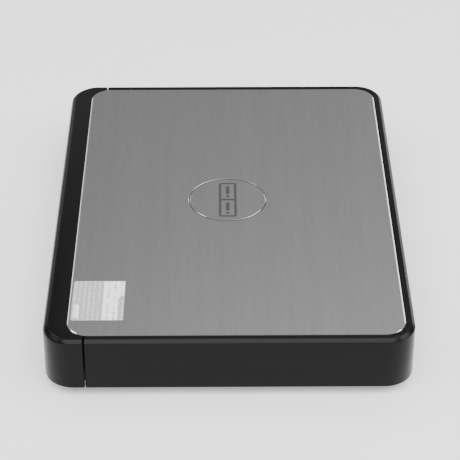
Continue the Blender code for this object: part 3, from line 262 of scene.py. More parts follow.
def joined_mesh(name, meshes):
    """Several closed meshes stored as one, each keeping its own shape and shading."""
    bm = bmesh.new()
    for mesh in meshes:
        bm.from_mesh(mesh)
    whole = bpy.data.meshes.new(name)
    bm.to_mesh(whole)
    bm.free()
    for mesh in meshes:
        bpy.data.meshes.remove(mesh)
    return whole


def carve(mesh, cutters):
    """The mesh with each cutter mesh taken out of it, as a plain mesh again."""
    piece = bpy.data.objects.new("blank", mesh)
    bpy.context.scene.collection.objects.link(piece)
    tools = []
    for cutter in cutters:
        tool = bpy.data.objects.new("cutter", cutter)
        bpy.context.scene.collection.objects.link(tool)
        cut = piece.modifiers.new("cut", "BOOLEAN")
        cut.operation = "DIFFERENCE"
        cut.solver = "EXACT"
        cut.object = tool
        tools.append(tool)
    bpy.context.view_layer.update()
    whole = piece.evaluated_get(bpy.context.evaluated_depsgraph_get())
    result = bpy.data.meshes.new_from_object(whole)
    name = mesh.name
    for thing in tools + [piece]:
        shape = thing.data
        bpy.data.objects.remove(thing)
        bpy.data.meshes.remove(shape)
    result.name = name
    result.shade_smooth()
    result.set_sharp_from_angle(angle=math.radians(SHARP))
    return result


def round_hole(axis, centre, radius, span, flare):
    """A turned cutter that starts OVERRUN outside the face: a cylinder whose mouth widens by
    flare over its last flare of depth, and then at the same slope."""
    near, far = span
    inward = math.copysign(1.0, far - near)
    profile = [
        (near, radius + flare + OVERRUN),
        (near + inward * OVERRUN, radius + flare),
        (near + inward * (OVERRUN + flare), radius),
        (far, radius),
    ]
    return turned_mesh("hole", axis, centre, profile, 48)


def turned_mesh(name, axis, centre, profile, segments, sharp=SHARP):
    """A profile of (distance along the axis, radius) turned about the axis: each point goes
    round as radius times (cos a, sin a) for even steps of a. A zero radius closes to a pole."""
    a = np.linspace(0.0, 2.0 * math.pi, segments, endpoint=False)
    along, radius = (np.array(column)[:, None] for column in zip(*profile))
    radius = np.maximum(radius, 1e-9)
    u = centre[0] + radius * np.cos(a)
    v = centre[1] + radius * np.sin(a)
    return loft(name, along_axis(axis, np.broadcast_to(along, u.shape), u, v), sharp)


def wall_points(points, out, depth, height):
    """Points at a depth inside the outer face and at a height, one for each station."""
    inward = out * np.broadcast_to(depth, len(points))[:, None]
    return at_height(points - inward, height)


def case_corners(points, out, groove):
    """The case's wall section at each station: groove is how far its outer faces are pulled
    in there, which bevels the two ends at the seam."""
    section = (
        (groove, SHELL_BOTTOM),
        (groove, RIM_TOP - EDGE_CHAMFER - groove * HALF_TURN),
        (EDGE_CHAMFER + groove * HALF_TURN, RIM_TOP - groove),
        (RIM_WIDTH, RIM_TOP - groove),
        (RIM_WIDTH, DECK_TOP),
        (DECK_REACH, DECK_TOP),
        (DECK_REACH, DECK_BOTTOM),
        (WALL, DECK_BOTTOM),
        (WALL, SHELL_BOTTOM),
    )
    return np.stack([wall_points(points, out, depth, height) for depth, height in section], axis=1)


case_seam = case_low.y
case_full = case_seam + SEAM_BEVEL
turn_y = BACK_Y - CORNER
turn_x = HALF_X - CORNER
case_path, case_out = joined(
    straight((HALF_X, case_seam), (HALF_X, case_full), 1),
    straight((HALF_X, case_full), (HALF_X, turn_y), 12),
    arc((turn_x, turn_y), CORNER, 0, 90, 28),
    straight((turn_x, BACK_Y), (-turn_x, BACK_Y), 14),
    arc((-turn_x, turn_y), CORNER, 90, 180, 28),
    straight((-HALF_X, turn_y), (-HALF_X, case_full), 12),
    straight((-HALF_X, case_full), (-HALF_X, case_seam), 1),
)
case_groove = np.zeros(len(case_path))
case_groove[[0, -1]] = SEAM_BEVEL
case_rounds = np.array([0.8, 0.45, 0.45, 0.25, 0.1, 0.1, 0.1, 0.9, 0.4]) * MM
case_radii = np.tile(case_rounds, (len(case_path), 1))
case_walls = loft("upper_case", rounded_loops(case_corners(case_path, case_out, case_groove), case_radii))


def round_rectangle(low, high, radius, count):
    """The outline of a rectangle with rounded corners: a quarter arc at each, end to end."""
    left, front = low[0] + radius, low[1] + radius
    right, back = high[0] - radius, high[1] - radius
    outline, _ = joined(
        arc((right, front), radius, -90, 0, count),
        arc((right, back), radius, 0, 90, count),
        arc((left, back), radius, 90, 180, count),
        arc((left, front), radius, 180, 270, count),
    )
    return outline


def sheet_from(outline, low, high, name):
    """A flat sheet from an outline of points, between two heights."""
    return loft(name, np.stack([at_height(outline, z) for z in (low, high)]))


def rounded_bar(axis, middle, half, radius, span):
    """A bar with round corners, to carve a slot with or to print: half gives its two half
    sizes about its middle, and span its two ends along the axis."""
    u, v = (round_rectangle((-half[0], -half[1]), half, radius, 6) + middle).T
    return loft("slot", np.stack([along_axis(axis, np.full(len(u), place), u, v) for place in span]))


def node_middle(node, *axes):
    """The middle of a node's box, in the coordinates asked for: 0, 1 and 2 are X, Y and Z."""
    low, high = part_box(node)
    return tuple((low[i] + high[i]) / 2 for i in axes)


left_wall = (-HALF_X - OVERRUN, -HALF_X + WALL + OVERRUN)
back_wall = (BACK_Y - WALL - 1.6 * MM, BACK_Y + OVERRUN)
case_mesh = carve(
    case_walls,
    [
        rounded_bar("Y", PORT_OPENING_MIDDLE, PORT_OPENING_HALF, 2.5 * MM, back_wall),
        rounded_bar("X", node_middle("sd_socket", 1, 2), CARD_SLOT_HALF, 0.8 * MM, left_wall),
        round_hole("X", node_middle("copy_button", 1, 2), COPY_HOLE_RADIUS, left_wall, 0.3 * MM),
    ],
)
deck_half = HALF_X - DECK_REACH + DECK_OVERLAP
deck_back = BACK_Y - DECK_REACH + DECK_OVERLAP
deck_outline = round_rectangle((-deck_half, case_seam), (deck_half, deck_back), 3.0 * MM, 12)
deck = sheet_from(deck_outline, DECK_BOTTOM + DECK_SKIN, DECK_TOP - DECK_SKIN, "deck")
case_mesh = joined_mesh("upper_case", [case_mesh, deck])


def shader_group(name, numbers, outputs):
    """An empty node group with number inputs, given as name to default, and named outputs."""
    group = bpy.data.node_groups.new(name, "ShaderNodeTree")
    for label, value in numbers.items():
        socket = group.interface.new_socket(label, in_out="INPUT", socket_type="NodeSocketFloat")
        socket.default_value = value
    for label, kind in outputs.items():
        group.interface.new_socket(label, in_out="OUTPUT", socket_type=kind)
    return group, group.nodes.new("NodeGroupInput"), group.nodes.new("NodeGroupOutput")


def maths(tree, operation, first, second=None, third=None):
    """A Math node on sockets or plain numbers. Returns its output."""
    node = tree.nodes.new("ShaderNodeMath")
    node.operation = operation
    for place, value in enumerate((first, second, third)):
        if value is None:
            continue
        if isinstance(value, (int, float)):
            node.inputs[place].default_value = value
        else:
            tree.links.new(value, node.inputs[place])
    return node.outputs[0]


def object_point(tree, stretch=(1.0, 1.0, 1.0)):
    """The object's own coordinates in millimetres, stretched by the three factors."""
    coordinates = tree.nodes.new("ShaderNodeTexCoord")
    mapping = tree.nodes.new("ShaderNodeMapping")
    mapping.inputs["Scale"].default_value = [1000.0 * s for s in stretch]
    tree.links.new(coordinates.outputs["Object"], mapping.inputs["Vector"])
    return mapping.outputs["Vector"]


def noise(tree, point, scale, detail=2.0, roughness=0.5):
    """A noise value of about 0 to 1 at a point; scale is per millimetre."""
    node = tree.nodes.new("ShaderNodeTexNoise")
    node.inputs["Detail"].default_value = detail
    node.inputs["Roughness"].default_value = roughness
    tree.links.new(point, node.inputs["Vector"])
    if isinstance(scale, (int, float)):
        node.inputs["Scale"].default_value = scale
    else:
        tree.links.new(scale, node.inputs["Scale"])
    return node.outputs["Fac"]


# Fine spark-eroded texture of a moulding: two sizes of grain in the surface, a slow drift in
# gloss, and handled edges that are a little glossier and are painted paler as a highlight.
moulded, given, put = shader_group(
    "moulded_surface",
    {"Grain": 3.2, "Gloss drift": 0.06, "Roughness": 0.4, "Edge polish": 0.35},
    {"Height": "NodeSocketFloat", "Roughness": "NodeSocketFloat", "Edge": "NodeSocketFloat"},
)
grain_point = object_point(moulded)
fine = noise(moulded, grain_point, given.outputs["Grain"], 3.0)
coarse = noise(moulded, grain_point, 0.9, 2.0)
drift = noise(moulded, grain_point, 0.035, 3.0)
moulded.links.new(maths(moulded, "MULTIPLY_ADD", coarse, 0.4, fine), put.inputs["Height"])
centred = maths(moulded, "SUBTRACT", drift, 0.5)
softened = maths(moulded, "MULTIPLY_ADD", centred, given.outputs["Gloss drift"], given.outputs["Roughness"])
# Pointiness marks the edges: there the roughness drops a little, and the paler edge colour is mixed in as a
# painted highlight.
geometry = moulded.nodes.new("ShaderNodeNewGeometry")
raised = maths(moulded, "SUBTRACT", geometry.outputs["Pointiness"], 0.51)
steep = maths(moulded, "MULTIPLY", maths(moulded, "MAXIMUM", raised, 0.0), 9.0)
edge_wear_and_highlight = maths(moulded, "MINIMUM", steep, 1.0)
edge = maths(moulded, "MULTIPLY", edge_wear_and_highlight, given.outputs["Edge polish"])
moulded.links.new(edge, put.inputs["Edge"])
moulded.links.new(maths(moulded, "MULTIPLY_ADD", edge, -0.12, softened), put.inputs["Roughness"])


def new_material(name, colour, roughness, metallic=0.0):
    """A material with its Principled BSDF's plain values set. Returns both."""
    material = bpy.data.materials.new(name)
    material.use_nodes = True
    shader = material.node_tree.nodes["Principled BSDF"]
    shader.inputs["Base Color"].default_value = (*colour, 1.0)
    shader.inputs["Roughness"].default_value = roughness
    shader.inputs["Metallic"].default_value = metallic
    material.diffuse_color = (*colour, 1.0)
    return material, shader


def use_group(tree, group, **values):
    """Places a node group and sets its inputs, spaces in their names written as underscores."""
    node = tree.nodes.new("ShaderNodeGroup")
    node.node_tree = group
    for label, value in values.items():
        node.inputs[label.replace("_", " ")].default_value = value
    return node


def bump(tree, height, shader, strength, distance):
    """Height in millimetres of relief, as a Bump node on the shader's normal."""
    node = tree.nodes.new("ShaderNodeBump")
    node.inputs["Strength"].default_value = strength
    node.inputs["Distance"].default_value = distance * MM
    tree.links.new(height, node.inputs["Height"])
    tree.links.new(node.outputs["Normal"], shader.inputs["Normal"])


def mix_colours(tree, share, first, second):
    """The first colour going to the second as share goes from 0 to 1."""
    node = tree.nodes.new("ShaderNodeMix")
    node.data_type = "RGBA"
    tree.links.new(share, node.inputs["Factor"])
    for label, colour in (("A", first), ("B", second)):
        socket = next(s for s in node.inputs if s.name == label and s.type == "RGBA")
        if hasattr(colour, "is_linked"):
            tree.links.new(colour, socket)
        else:
            socket.default_value = (*colour, 1.0)
    return next(s for s in node.outputs if s.type == "RGBA")


def lay_finish(tree, shader, look, share, colours, strength, depth):
    """Feeds a group's outputs to the shader: a mix of two colours, the gloss and the relief."""
    tree.links.new(mix_colours(tree, look.outputs[share], *colours), shader.inputs["Base Color"])
    tree.links.new(look.outputs["Roughness"], shader.inputs["Roughness"])
    bump(tree, look.outputs["Height"], shader, strength, depth)


def moulded_plastic(
    name, colour, edge_highlight_colour, roughness, grain, depth, drift=0.06, strength=0.35, polish=0.35
):
    """Moulded plastic: colour, glossier edges painted paler as a highlight, and the grain of its
    mould. Polish sets both the edge gloss and the painted highlight; it is 0 on pieces with large
    plain faces, where the edge tone would spread from their corners."""
    material, shader = new_material(name, colour, roughness)
    tree = material.node_tree
    look = use_group(tree, moulded, Grain=grain, Gloss_drift=drift, Roughness=roughness, Edge_polish=polish)
    lay_finish(tree, shader, look, "Edge", (colour, edge_highlight_colour), strength, depth)
    return material


casing_black = moulded_plastic(
    "casing_black", (0.0025, 0.0025, 0.0026), (0.008, 0.008, 0.0083), 0.25, grain=3.2, depth=0.006
)
casing_black.node_tree.nodes["Principled BSDF"].inputs["Specular IOR Level"].default_value = 0.13
add_piece(case_mesh, casing_black, "chassis", "upper_case")

# ---------------------------------------------------------------- front cover
# A black cap over the whole front, moulded like the case. Its top strip is wide and its inner
# edge follows the plate; its front edge is a larger round that turns into the chamfer along
# each corner. A narrow floor closes it below, and two arms snap into the bezel's ears.
FRONT_ROUND = 4.0 * MM
STRIP_BOTTOM = RIM_TOP - WALL
COVER_FLOOR_TOP = SHELL_BOTTOM + 1.8 * MM
FLOOR_WIDTH = 10.0 * MM
FLOOR_WIDTH_AT_SIDES = WALL + 0.8 * MM
COVER_ROUNDS = np.array([0.8, 0.45, 0.45, 0.25, 0.3, 1.0, 0.4, 0.2, 0.2]) * MM
BUTTON_HOLE_RADIUS = 5.0 * MM
ARM_X = (144.6 * MM, 146.4 * MM)
ARM_Y = (-103.0 * MM, -79.0 * MM)
ARM_Z = (18.0 * MM, 28.0 * MM)
cover_seam = case_low.y - SEAM_HALF_GAP
cover_full = cover_seam - SEAM_BEVEL
front_turn = FRONT_Y + CORNER
cover_path, cover_out = joined(
    straight((-HALF_X, cover_seam), (-HALF_X, cover_full), 1),
    straight((-HALF_X, cover_full), (-HALF_X, front_turn), 4),
    arc((-turn_x, front_turn), CORNER, 180, 270, 32),
    straight((-turn_x, FRONT_Y), (turn_x, FRONT_Y), 28),
    arc((turn_x, front_turn), CORNER, 270, 360, 32),
    straight((HALF_X, front_turn), (HALF_X, cover_full), 4),
    straight((HALF_X, cover_full), (HALF_X, cover_seam), 1),
)
plate_turn = (plate_high.x - PLATE_CORNER, plate_low.y + PLATE_CORNER)
plate_reach = PLATE_CORNER + PLATE_GAP


def strip_edge(points):
    """The strip's inner edge beside each station: along the plate's front it lies straight
    behind; round each corner it runs along the plate's arc, in step with the outer edge."""
    x, y = np.abs(points[:, 0]), points[:, 1]
    round_corner = CORNER * np.arctan2(np.maximum(x - turn_x, 0.0), np.maximum(front_turn - y, 1e-9))
    past_corner = np.maximum(y - front_turn, 0.0)
    corner_length = CORNER * math.pi / 2
    whole = corner_length + (cover_seam - front_turn)
    round_corner = np.minimum(round_corner, corner_length)
    share = np.where(y > front_turn, corner_length + past_corner, round_corner) / whole
    seam_angle = math.degrees(math.asin((plate_turn[1] - cover_seam) / plate_reach))
    angle = np.radians(-90.0 + share * (90.0 - seam_angle))
    arc_x = plate_turn[0] + plate_reach * np.cos(angle)
    arc_y = plate_turn[1] + plate_reach * np.sin(angle)
    on_front = x <= turn_x + 1e-7
    inner_x = np.where(on_front, x * plate_turn[0] / turn_x, arc_x)
    inner_y = np.where(on_front, plate_low.y - PLATE_GAP, arc_y)
    return np.column_stack([np.sign(points[:, 0]) * inner_x, inner_y])


def cover_loops(points, out, groove):
    """The cover's section at each station. A blend of 0 at the sides and 1 along the front
    moves the two upper corners and their radii from the chamfer to a quarter round."""
    facing = np.clip(-out[:, 1], 0.0, 1.0)
    blend = facing * facing * (3.0 - 2.0 * facing)
    inner = strip_edge(points)
    low_corner = EDGE_CHAMFER + (FRONT_ROUND * (1.0 - HALF_TURN) - EDGE_CHAMFER) * blend
    widening = FLOOR_WIDTH - FLOOR_WIDTH_AT_SIDES
    floor_in = FLOOR_WIDTH_AT_SIDES + widening * np.clip(facing * 2.0, 0.0, 1.0)

    outside = (
        (groove, SHELL_BOTTOM),
        (groove, RIM_TOP - low_corner - groove * HALF_TURN),
        (low_corner + groove * HALF_TURN, RIM_TOP - groove),
    )
    underside = (
        (WALL, STRIP_BOTTOM),
        (WALL, COVER_FLOOR_TOP),
        (floor_in, COVER_FLOOR_TOP),
        (floor_in, SHELL_BOTTOM),
    )
    corners = [wall_points(points, out, depth, height) for depth, height in outside]
    corners += [at_height(inner, RIM_TOP - groove), at_height(inner, STRIP_BOTTOM)]
    corners += [wall_points(points, out, depth, height) for depth, height in underside]
    radii = np.tile(COVER_ROUNDS, (len(points), 1))
    chamfer_round = COVER_ROUNDS[1]
    softened = chamfer_round + (0.995 * FRONT_ROUND - chamfer_round) * blend
    radii[:, 1] = radii[:, 2] = softened
    return rounded_loops(np.stack(corners, axis=1), radii, 6)


cover_groove = np.zeros(len(cover_path))
cover_groove[[0, -1]] = SEAM_BEVEL
power_centre = node_middle("power_button", 0, 2)
window_low, window_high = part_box("indicator_window")
window_half = [(window_high[i] - window_low[i]) / 2 + CLEARANCE for i in (0, 2)]
front_wall = (FRONT_Y - OVERRUN, FRONT_Y + WALL + OVERRUN)
cover_mesh = carve(
    loft("front_cover", cover_loops(cover_path, cover_out, cover_groove)),
    [
        round_hole("Y", power_centre, BUTTON_HOLE_RADIUS, front_wall, 0.35 * MM),
        rounded_bar("Y", node_middle("indicator_window", 0, 2), window_half, 0.6 * MM, front_wall),
    ],
)
arms = []
for side in (-1, 1):
    near, far = sorted((side * ARM_X[0], side * ARM_X[1]))
    arms.append(box_mesh("arm", (near, ARM_Y[0], ARM_Z[0]), (far, ARM_Y[1], ARM_Z[1])))
add_piece(joined_mesh("front_cover", [cover_mesh] + arms), casing_black, "cover", "front_cover")

# ---------------------------------------------------------------- top plate
# A 1.1 mm aluminium sheet, stuck on the deck. Its face is brushed along the casing's width
# and clear anodised grey; its edge is cut at an angle and polished after brushing, and a
# fine ring is engraved round the middle, its floor painted dark as painted shade in the groove.
RING_RADIUS = 24.9 * MM
RING_HALF = 0.6 * MM
RING_FLOOR = 0.4 * MM
RING_DEPTH = 0.09 * MM
EDGE_IN = 0.66 * MM
EDGE_DOWN = 0.32 * MM
EDGE_SOFT = 0.06 * MM
FACE_IN = EDGE_IN + 0.6 * MM
RING_MARGIN = 0.8 * MM
SPOKE_STEPS = 8
FACE_RADII = (20.0 * MM, 13.0 * MM, 6.0 * MM, 1.5 * MM)
plate_top = plate_high.z
plate_bottom = plate_low.z


def plate_outline(inset):
    """Stations round the plate, pulled in by inset: corner arcs and straight sides."""
    radius = PLATE_CORNER - inset
    x, front, back = plate_turn[0], plate_turn[1], plate_high.y - PLATE_CORNER
    points, _ = joined(
        straight((-x, front - radius), (x, front - radius), 44),
        arc((x, front), radius, -90, 0, 20),
        straight((x + radius, front), (x + radius, back), 32),
        arc((x, back), radius, 0, 90, 20),
        straight((x, back + radius), (-x, back + radius), 44),
        arc((-x, back), radius, 90, 180, 20),
        straight((-x - radius, back), (-x - radius, front), 32),
        arc((-x, front), radius, 180, 270, 20),
    )
    return points[:-1]


def plate_rows():
    """Rows of the plate's skin from its underside, up its edge, over the cut edge and in over
    the face, through the engraved ring to its middle. On the face each point lies on a
    straight spoke from the outline to the ring at the same station."""
    edge_low = plate_top - EDGE_DOWN
    rows = []
    for inset, z in (
        (0.3 * MM, plate_bottom),
        (0.0, plate_bottom + 0.1 * MM),
        (0.0, edge_low - EDGE_SOFT),
        (EDGE_SOFT * 0.3, edge_low + EDGE_SOFT * 0.4),
        (EDGE_IN - EDGE_SOFT * 0.4, plate_top - EDGE_SOFT * 0.3),
        (EDGE_IN + EDGE_SOFT, plate_top),
        (FACE_IN, plate_top),
    ):
        rows.append(at_height(plate_outline(inset), z))
    outer = plate_outline(FACE_IN)
    turn = np.arctan2(outer[:, 1], outer[:, 0])
    circle = np.column_stack([np.cos(turn), np.sin(turn)])
    ring_outer = circle * (RING_RADIUS + RING_HALF + RING_MARGIN)
    for share in np.linspace(0.0, 1.0, SPOKE_STEPS + 1)[1:]:
        rows.append(at_height(outer + (ring_outer - outer) * share, plate_top))
    groove_side = [(RING_HALF + 0.04 * MM, 0.0), (RING_HALF, -0.01 * MM), (RING_FLOOR, -RING_DEPTH)]
    for offset, depth in groove_side + [(-offset, depth) for offset, depth in reversed(groove_side)]:
        rows.append(at_height(circle * (RING_RADIUS + offset), plate_top + depth))
    for radius in FACE_RADII:
        rows.append(at_height(circle * radius, plate_top))
    return np.array(rows)


plate_mesh = loft("top_plate", plate_rows(), 12.0)

# Brush lines: long fine scratches along one axis, in two widths, with a slow change of tone
# across the sheet as the belt leaves it.
brushed, given, put = shader_group(
    "brushed_lines",
    {"Roughness": 0.34, "Line contrast": 0.5, "Gloss change": 0.12},
    {"Tone": "NodeSocketFloat", "Height": "NodeSocketFloat", "Roughness": "NodeSocketFloat"},
)
long_lines = noise(brushed, object_point(brushed, (0.03, 3.0, 0.3)), 1.0, 2.0, 0.6)
fine_lines = noise(brushed, object_point(brushed, (0.12, 9.0, 0.3)), 1.0, 2.0, 0.6)
bands = noise(brushed, object_point(brushed, (0.002, 0.11, 0.02)), 1.0, 2.0, 0.5)


def weighted(tree, first, share, second):
    """The first value times its share, plus the second times what is left of 1."""
    rest = maths(tree, "MULTIPLY", second, 1.0 - share)
    return maths(tree, "MULTIPLY_ADD", first, share, rest)


both = weighted(brushed, long_lines, 0.6, fine_lines)
with_bands = weighted(brushed, both, 0.85, bands)
off_middle = maths(brushed, "SUBTRACT", with_bands, 0.5)
tone = maths(brushed, "MULTIPLY_ADD", off_middle, given.outputs["Line contrast"], 0.5)
brushed.links.new(tone, put.inputs["Tone"])
brushed.links.new(both, put.inputs["Height"])
swing = maths(brushed, "SUBTRACT", both, 0.5)
gloss = maths(brushed, "MULTIPLY_ADD", swing, given.outputs["Gloss change"], given.outputs["Roughness"])
brushed.links.new(gloss, put.inputs["Roughness"])


def brushed_metal(name, dark, pale, roughness, contrast, depth, strength=0.5):
    """Metal with brush lines: tone from dark to pale along the lines, and shallow relief."""
    material, shader = new_material(name, pale, roughness, 1.0)
    tree = material.node_tree
    look = use_group(tree, brushed, Roughness=roughness, Line_contrast=contrast, Gloss_change=0.12)
    lay_finish(tree, shader, look, "Tone", (dark, pale), strength, depth)
    return material


brushed_alloy = brushed_metal("brushed_alloy", (0.16, 0.16, 0.162), (0.38, 0.38, 0.384), 0.38, 0.95, 0.02)
cut_edge = brushed_metal("cut_edge", (0.62, 0.62, 0.63), (0.78, 0.78, 0.79), 0.16, 0.3, 0.002, 0.2)
# Painted shade: a dark material for the groove's floor, standing in for the shade that falls in the groove.
groove_painted_shade = moulded_plastic(
    "groove_painted_shade", (0.014, 0.014, 0.014), (0.03, 0.03, 0.03), 0.5, grain=4.0, depth=0.004
)
for material in (brushed_alloy, cut_edge, groove_painted_shade):
    plate_mesh.materials.append(material)


def mesh_rows(items, name):
    """A vector property of all a mesh's points or faces, as rows of three numbers."""
    values = np.zeros(len(items) * 3)
    items.foreach_get(name, values)
    return values.reshape(-1, 3)


# Faces that lean by more than about 14 degrees, above the plate's lower edge, are the polished
# cut edge and the groove's walls. The groove's floor gets a dark material, painted shade for the groove.
centres = mesh_rows(plate_mesh.polygons, "center")
normals = mesh_rows(plate_mesh.polygons, "normal")
tilted = (normals[:, 2] < 0.97) & (centres[:, 2] > plate_bottom + 0.2 * MM)
in_groove = centres[:, 2] < plate_top - 0.95 * RING_DEPTH
near_ring = np.abs(np.hypot(centres[:, 0], centres[:, 1]) - RING_RADIUS) < MM
choice = np.where(in_groove & near_ring, 2, tilted.astype(np.int32)).astype(np.int32)
plate_mesh.polygons.foreach_set("material_index", choice)
add_piece(plate_mesh, brushed_alloy, "chassis", "top_plate")

# Printed mark inside the ring, in dark ink a few hundredths of a millimetre thick: a frame
# with two bays side by side, each holding a bar and a lamp dot.
INK_Z = (plate_top + 0.004 * MM, plate_top + 0.03 * MM)
INK_SPAN = (plate_top - 0.2 * MM, plate_top + 0.2 * MM)
BAY_STEP = 9.75 * MM
FRAME_HALF = (20.2 * MM, 5.8 * MM)
BAY_HALF = (8.8 * MM, 4.2 * MM)
BAR_HALF = (4.8 * MM, 1.2 * MM)
DOT_HALF = (1.2 * MM, 1.2 * MM)
bays = [rounded_bar("Z", (side * BAY_STEP, 0.0), BAY_HALF, 0.9 * MM, INK_SPAN) for side in (-1, 1)]
bars = [carve(rounded_bar("Z", (0.0, 0.0), FRAME_HALF, 2.0 * MM, INK_Z), bays)]
for side in (-1, 1):
    middle = side * BAY_STEP
    bars.append(rounded_bar("Z", (middle - 1.6 * MM, 0.0), BAR_HALF, 1.0 * MM, INK_Z))
    bars.append(rounded_bar("Z", (middle + 5.9 * MM, 0.0), DOT_HALF, 1.1 * MM, INK_Z))
dark_ink = moulded_plastic(
    "dark_ink", (0.026, 0.026, 0.027), (0.05, 0.05, 0.05), 0.45, grain=5.0, depth=0.004
)
storage_mark = add_piece(joined_mesh("storage_mark", bars), dark_ink, "chassis")

# ---------------------------------------------------------------- sticker
# A grey film sticker near the plate's front corner, stuck down flat, with a stepped white
# panel and a small white block printed on it. Rows of dashes stand in for its print.
label_low, label_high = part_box("info_label")
FILM = 0.12 * MM
PRINT = 0.02 * MM
FILM_CORNER = 1.6 * MM
label_base = plate_top + 0.005 * MM
film_top = label_base + FILM
left, right = label_low.x, label_high.x
front, back = label_low.y, label_high.y
film_left, _ = arc((left + FILM_CORNER, front + FILM_CORNER), FILM_CORNER, 180, 270, 8)
film_right, _ = arc((right - FILM_CORNER, front + FILM_CORNER), FILM_CORNER, 270, 360, 8)
film_outline = np.concatenate([film_left, film_right, [(right, back), (left, back)]])
film_mesh = sheet_from(film_outline, label_base, film_top, "info_label")
panel_left, panel_right = left + 0.4 * MM, right - 0.3 * MM
panel_front, panel_back, panel_step = -75.3 * MM, -66.4 * MM, -62.9 * MM
step_x, notch = 106.0 * MM, (108.4 * MM, -63.6 * MM)
panel_outline = [
    (panel_left, panel_front),
    (panel_right, panel_front),
    (panel_right, panel_back),
    (notch[0], panel_back),
    (step_x, notch[1]),
    (step_x, panel_step),
    (panel_left, panel_step),
]
panel_mesh = sheet_from(panel_outline, film_top, film_top + PRINT, "label_panel")
block_left, block_right = 114.9 * MM, 128.1 * MM
block_front, block_back = -92.5 * MM, -89.5 * MM
block_outline = [
    (block_left, block_front),
    (block_right, block_front),
    (block_right, block_back),
    (block_left, block_back),
]
block_mesh = sheet_from(block_outline, film_top, film_top + PRINT, "label_block")

print_rows, given, put = shader_group(
    "print_rows",
    {"Rows per mm": 0.36, "Row offset": 0.0, "Dash length": 0.9, "Cover": 0.55},
    {"Ink": "NodeSocketFloat"},
)
row_point = object_point(print_rows)
axes = print_rows.nodes.new("ShaderNodeSeparateXYZ")
print_rows.links.new(row_point, axes.inputs["Vector"])
rows_per_mm, row_offset = given.outputs["Rows per mm"], given.outputs["Row offset"]
row_count = maths(print_rows, "MULTIPLY_ADD", axes.outputs["Y"], rows_per_mm, row_offset)
row_part = maths(print_rows, "SUBTRACT", maths(print_rows, "FRACT", row_count), 0.5)
across = maths(print_rows, "ABSOLUTE", row_part)
in_row = maths(print_rows, "LESS_THAN", across, 0.18)
row_index = maths(print_rows, "FLOOR", row_count)
dash_place = print_rows.nodes.new("ShaderNodeCombineXYZ")
dash_x = maths(print_rows, "MULTIPLY", axes.outputs["X"], given.outputs["Dash length"])
row_step = maths(print_rows, "MULTIPLY", row_index, 7.3)
print_rows.links.new(dash_x, dash_place.inputs["X"])
print_rows.links.new(row_step, dash_place.inputs["Y"])
dashes = noise(print_rows, dash_place.outputs["Vector"], 1.0, 2.0, 0.6)
marked = maths(print_rows, "LESS_THAN", dashes, given.outputs["Cover"])
print_rows.links.new(maths(print_rows, "MULTIPLY", in_row, marked), put.inputs["Ink"])


def printed_film(name, colour, ink, rows, offset, dash, cover, roughness):
    """Film with rows of dashes in a second colour, and a faint wrinkle in its surface. Rows is
    their number per mm, dash sets how short the dashes are, and cover is their share."""
    material, shader = new_material(name, colour, roughness)
    tree = material.node_tree
    look = use_group(tree, print_rows, Rows_per_mm=rows, Row_offset=offset, Dash_length=dash, Cover=cover)
    tree.links.new(mix_colours(tree, look.outputs["Ink"], colour, ink), shader.inputs["Base Color"])
    bump(tree, noise(tree, object_point(tree), 0.35, 3.0), shader, 0.25, 0.05)
    return material


film_print = printed_film("film_print", (0.42, 0.42, 0.425), (0.64, 0.64, 0.64), 0.345, 0.4, 0.7, 0.52, 0.42)
panel_print = printed_film("panel_print", (1.0, 1.0, 1.0), (0.5, 0.5, 0.5), 0.26, 0.3, 1.3, 0.5, 0.5)
add_piece(film_mesh, film_print, "chassis", "info_label")
label_panel = add_piece(panel_mesh, panel_print, "chassis")
label_block = add_piece(block_mesh, panel_print, "chassis")

# ---------------------------------------------------------------- cover fittings
# A clear moulded light guide shows the lamps through a slot in the cover, on five prongs. The
# power button above it is a dished cap of brushed metal on a short stem.
def finer(node, material, body, edge, angle=30.0, steps=2):
    """The modelled node as a piece: its flat facets merged, and every edge that turns more
    than the angle rounded by a Bevel modifier. The edge's width is in millimetres."""
    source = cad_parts[node]
    bm = bmesh.new()
    bm.from_mesh(source.data)
    bmesh.ops.remove_doubles(bm, verts=bm.verts, dist=2e-6)
    bmesh.ops.dissolve_limit(bm, angle_limit=math.radians(1.0), verts=bm.verts, edges=bm.edges)
    mesh = bpy.data.meshes.new(node)
    bm.to_mesh(mesh)
    bm.free()
    mesh.shade_smooth()
    mesh.set_sharp_from_angle(angle=math.radians(angle))
    mesh.materials.clear()
    piece = add_piece(mesh, material, body, node)
    rounding = piece.modifiers.new("rounding", "BEVEL")
    rounding.width = edge * MM
    rounding.segments = steps
    rounding.limit_method = "ANGLE"
    rounding.angle_limit = math.radians(angle)
    rounding.use_clamp_overlap = True
    rounding.harden_normals = True
    return piece


def plain_metal(name, colour, roughness, grain=1.4, depth=0.01, strength=0.2):
    """Bare or plated metal with a faint uneven skin and glossier edges painted brighter as a highlight."""
    material, shader = new_material(name, colour, roughness, 1.0)
    tree = material.node_tree
    look = use_group(tree, moulded, Grain=grain, Gloss_drift=0.12, Roughness=roughness, Edge_polish=0.5)
    # The paler edge colour is a painted highlight.
    pale = tuple(min(1.0, 1.3 * c) for c in colour)
    lay_finish(tree, shader, look, "Edge", (colour, pale), strength, depth)
    return material


clear_guide = moulded_plastic(
    "clear_guide", (0.62, 0.66, 0.7), (0.8, 0.84, 0.88), 0.18, grain=0.6, depth=0.004, drift=0.04
)
clear_guide.node_tree.nodes["Principled BSDF"].inputs["Transmission Weight"].default_value = 0.7
finer("indicator_window", clear_guide, "cover", 0.12)

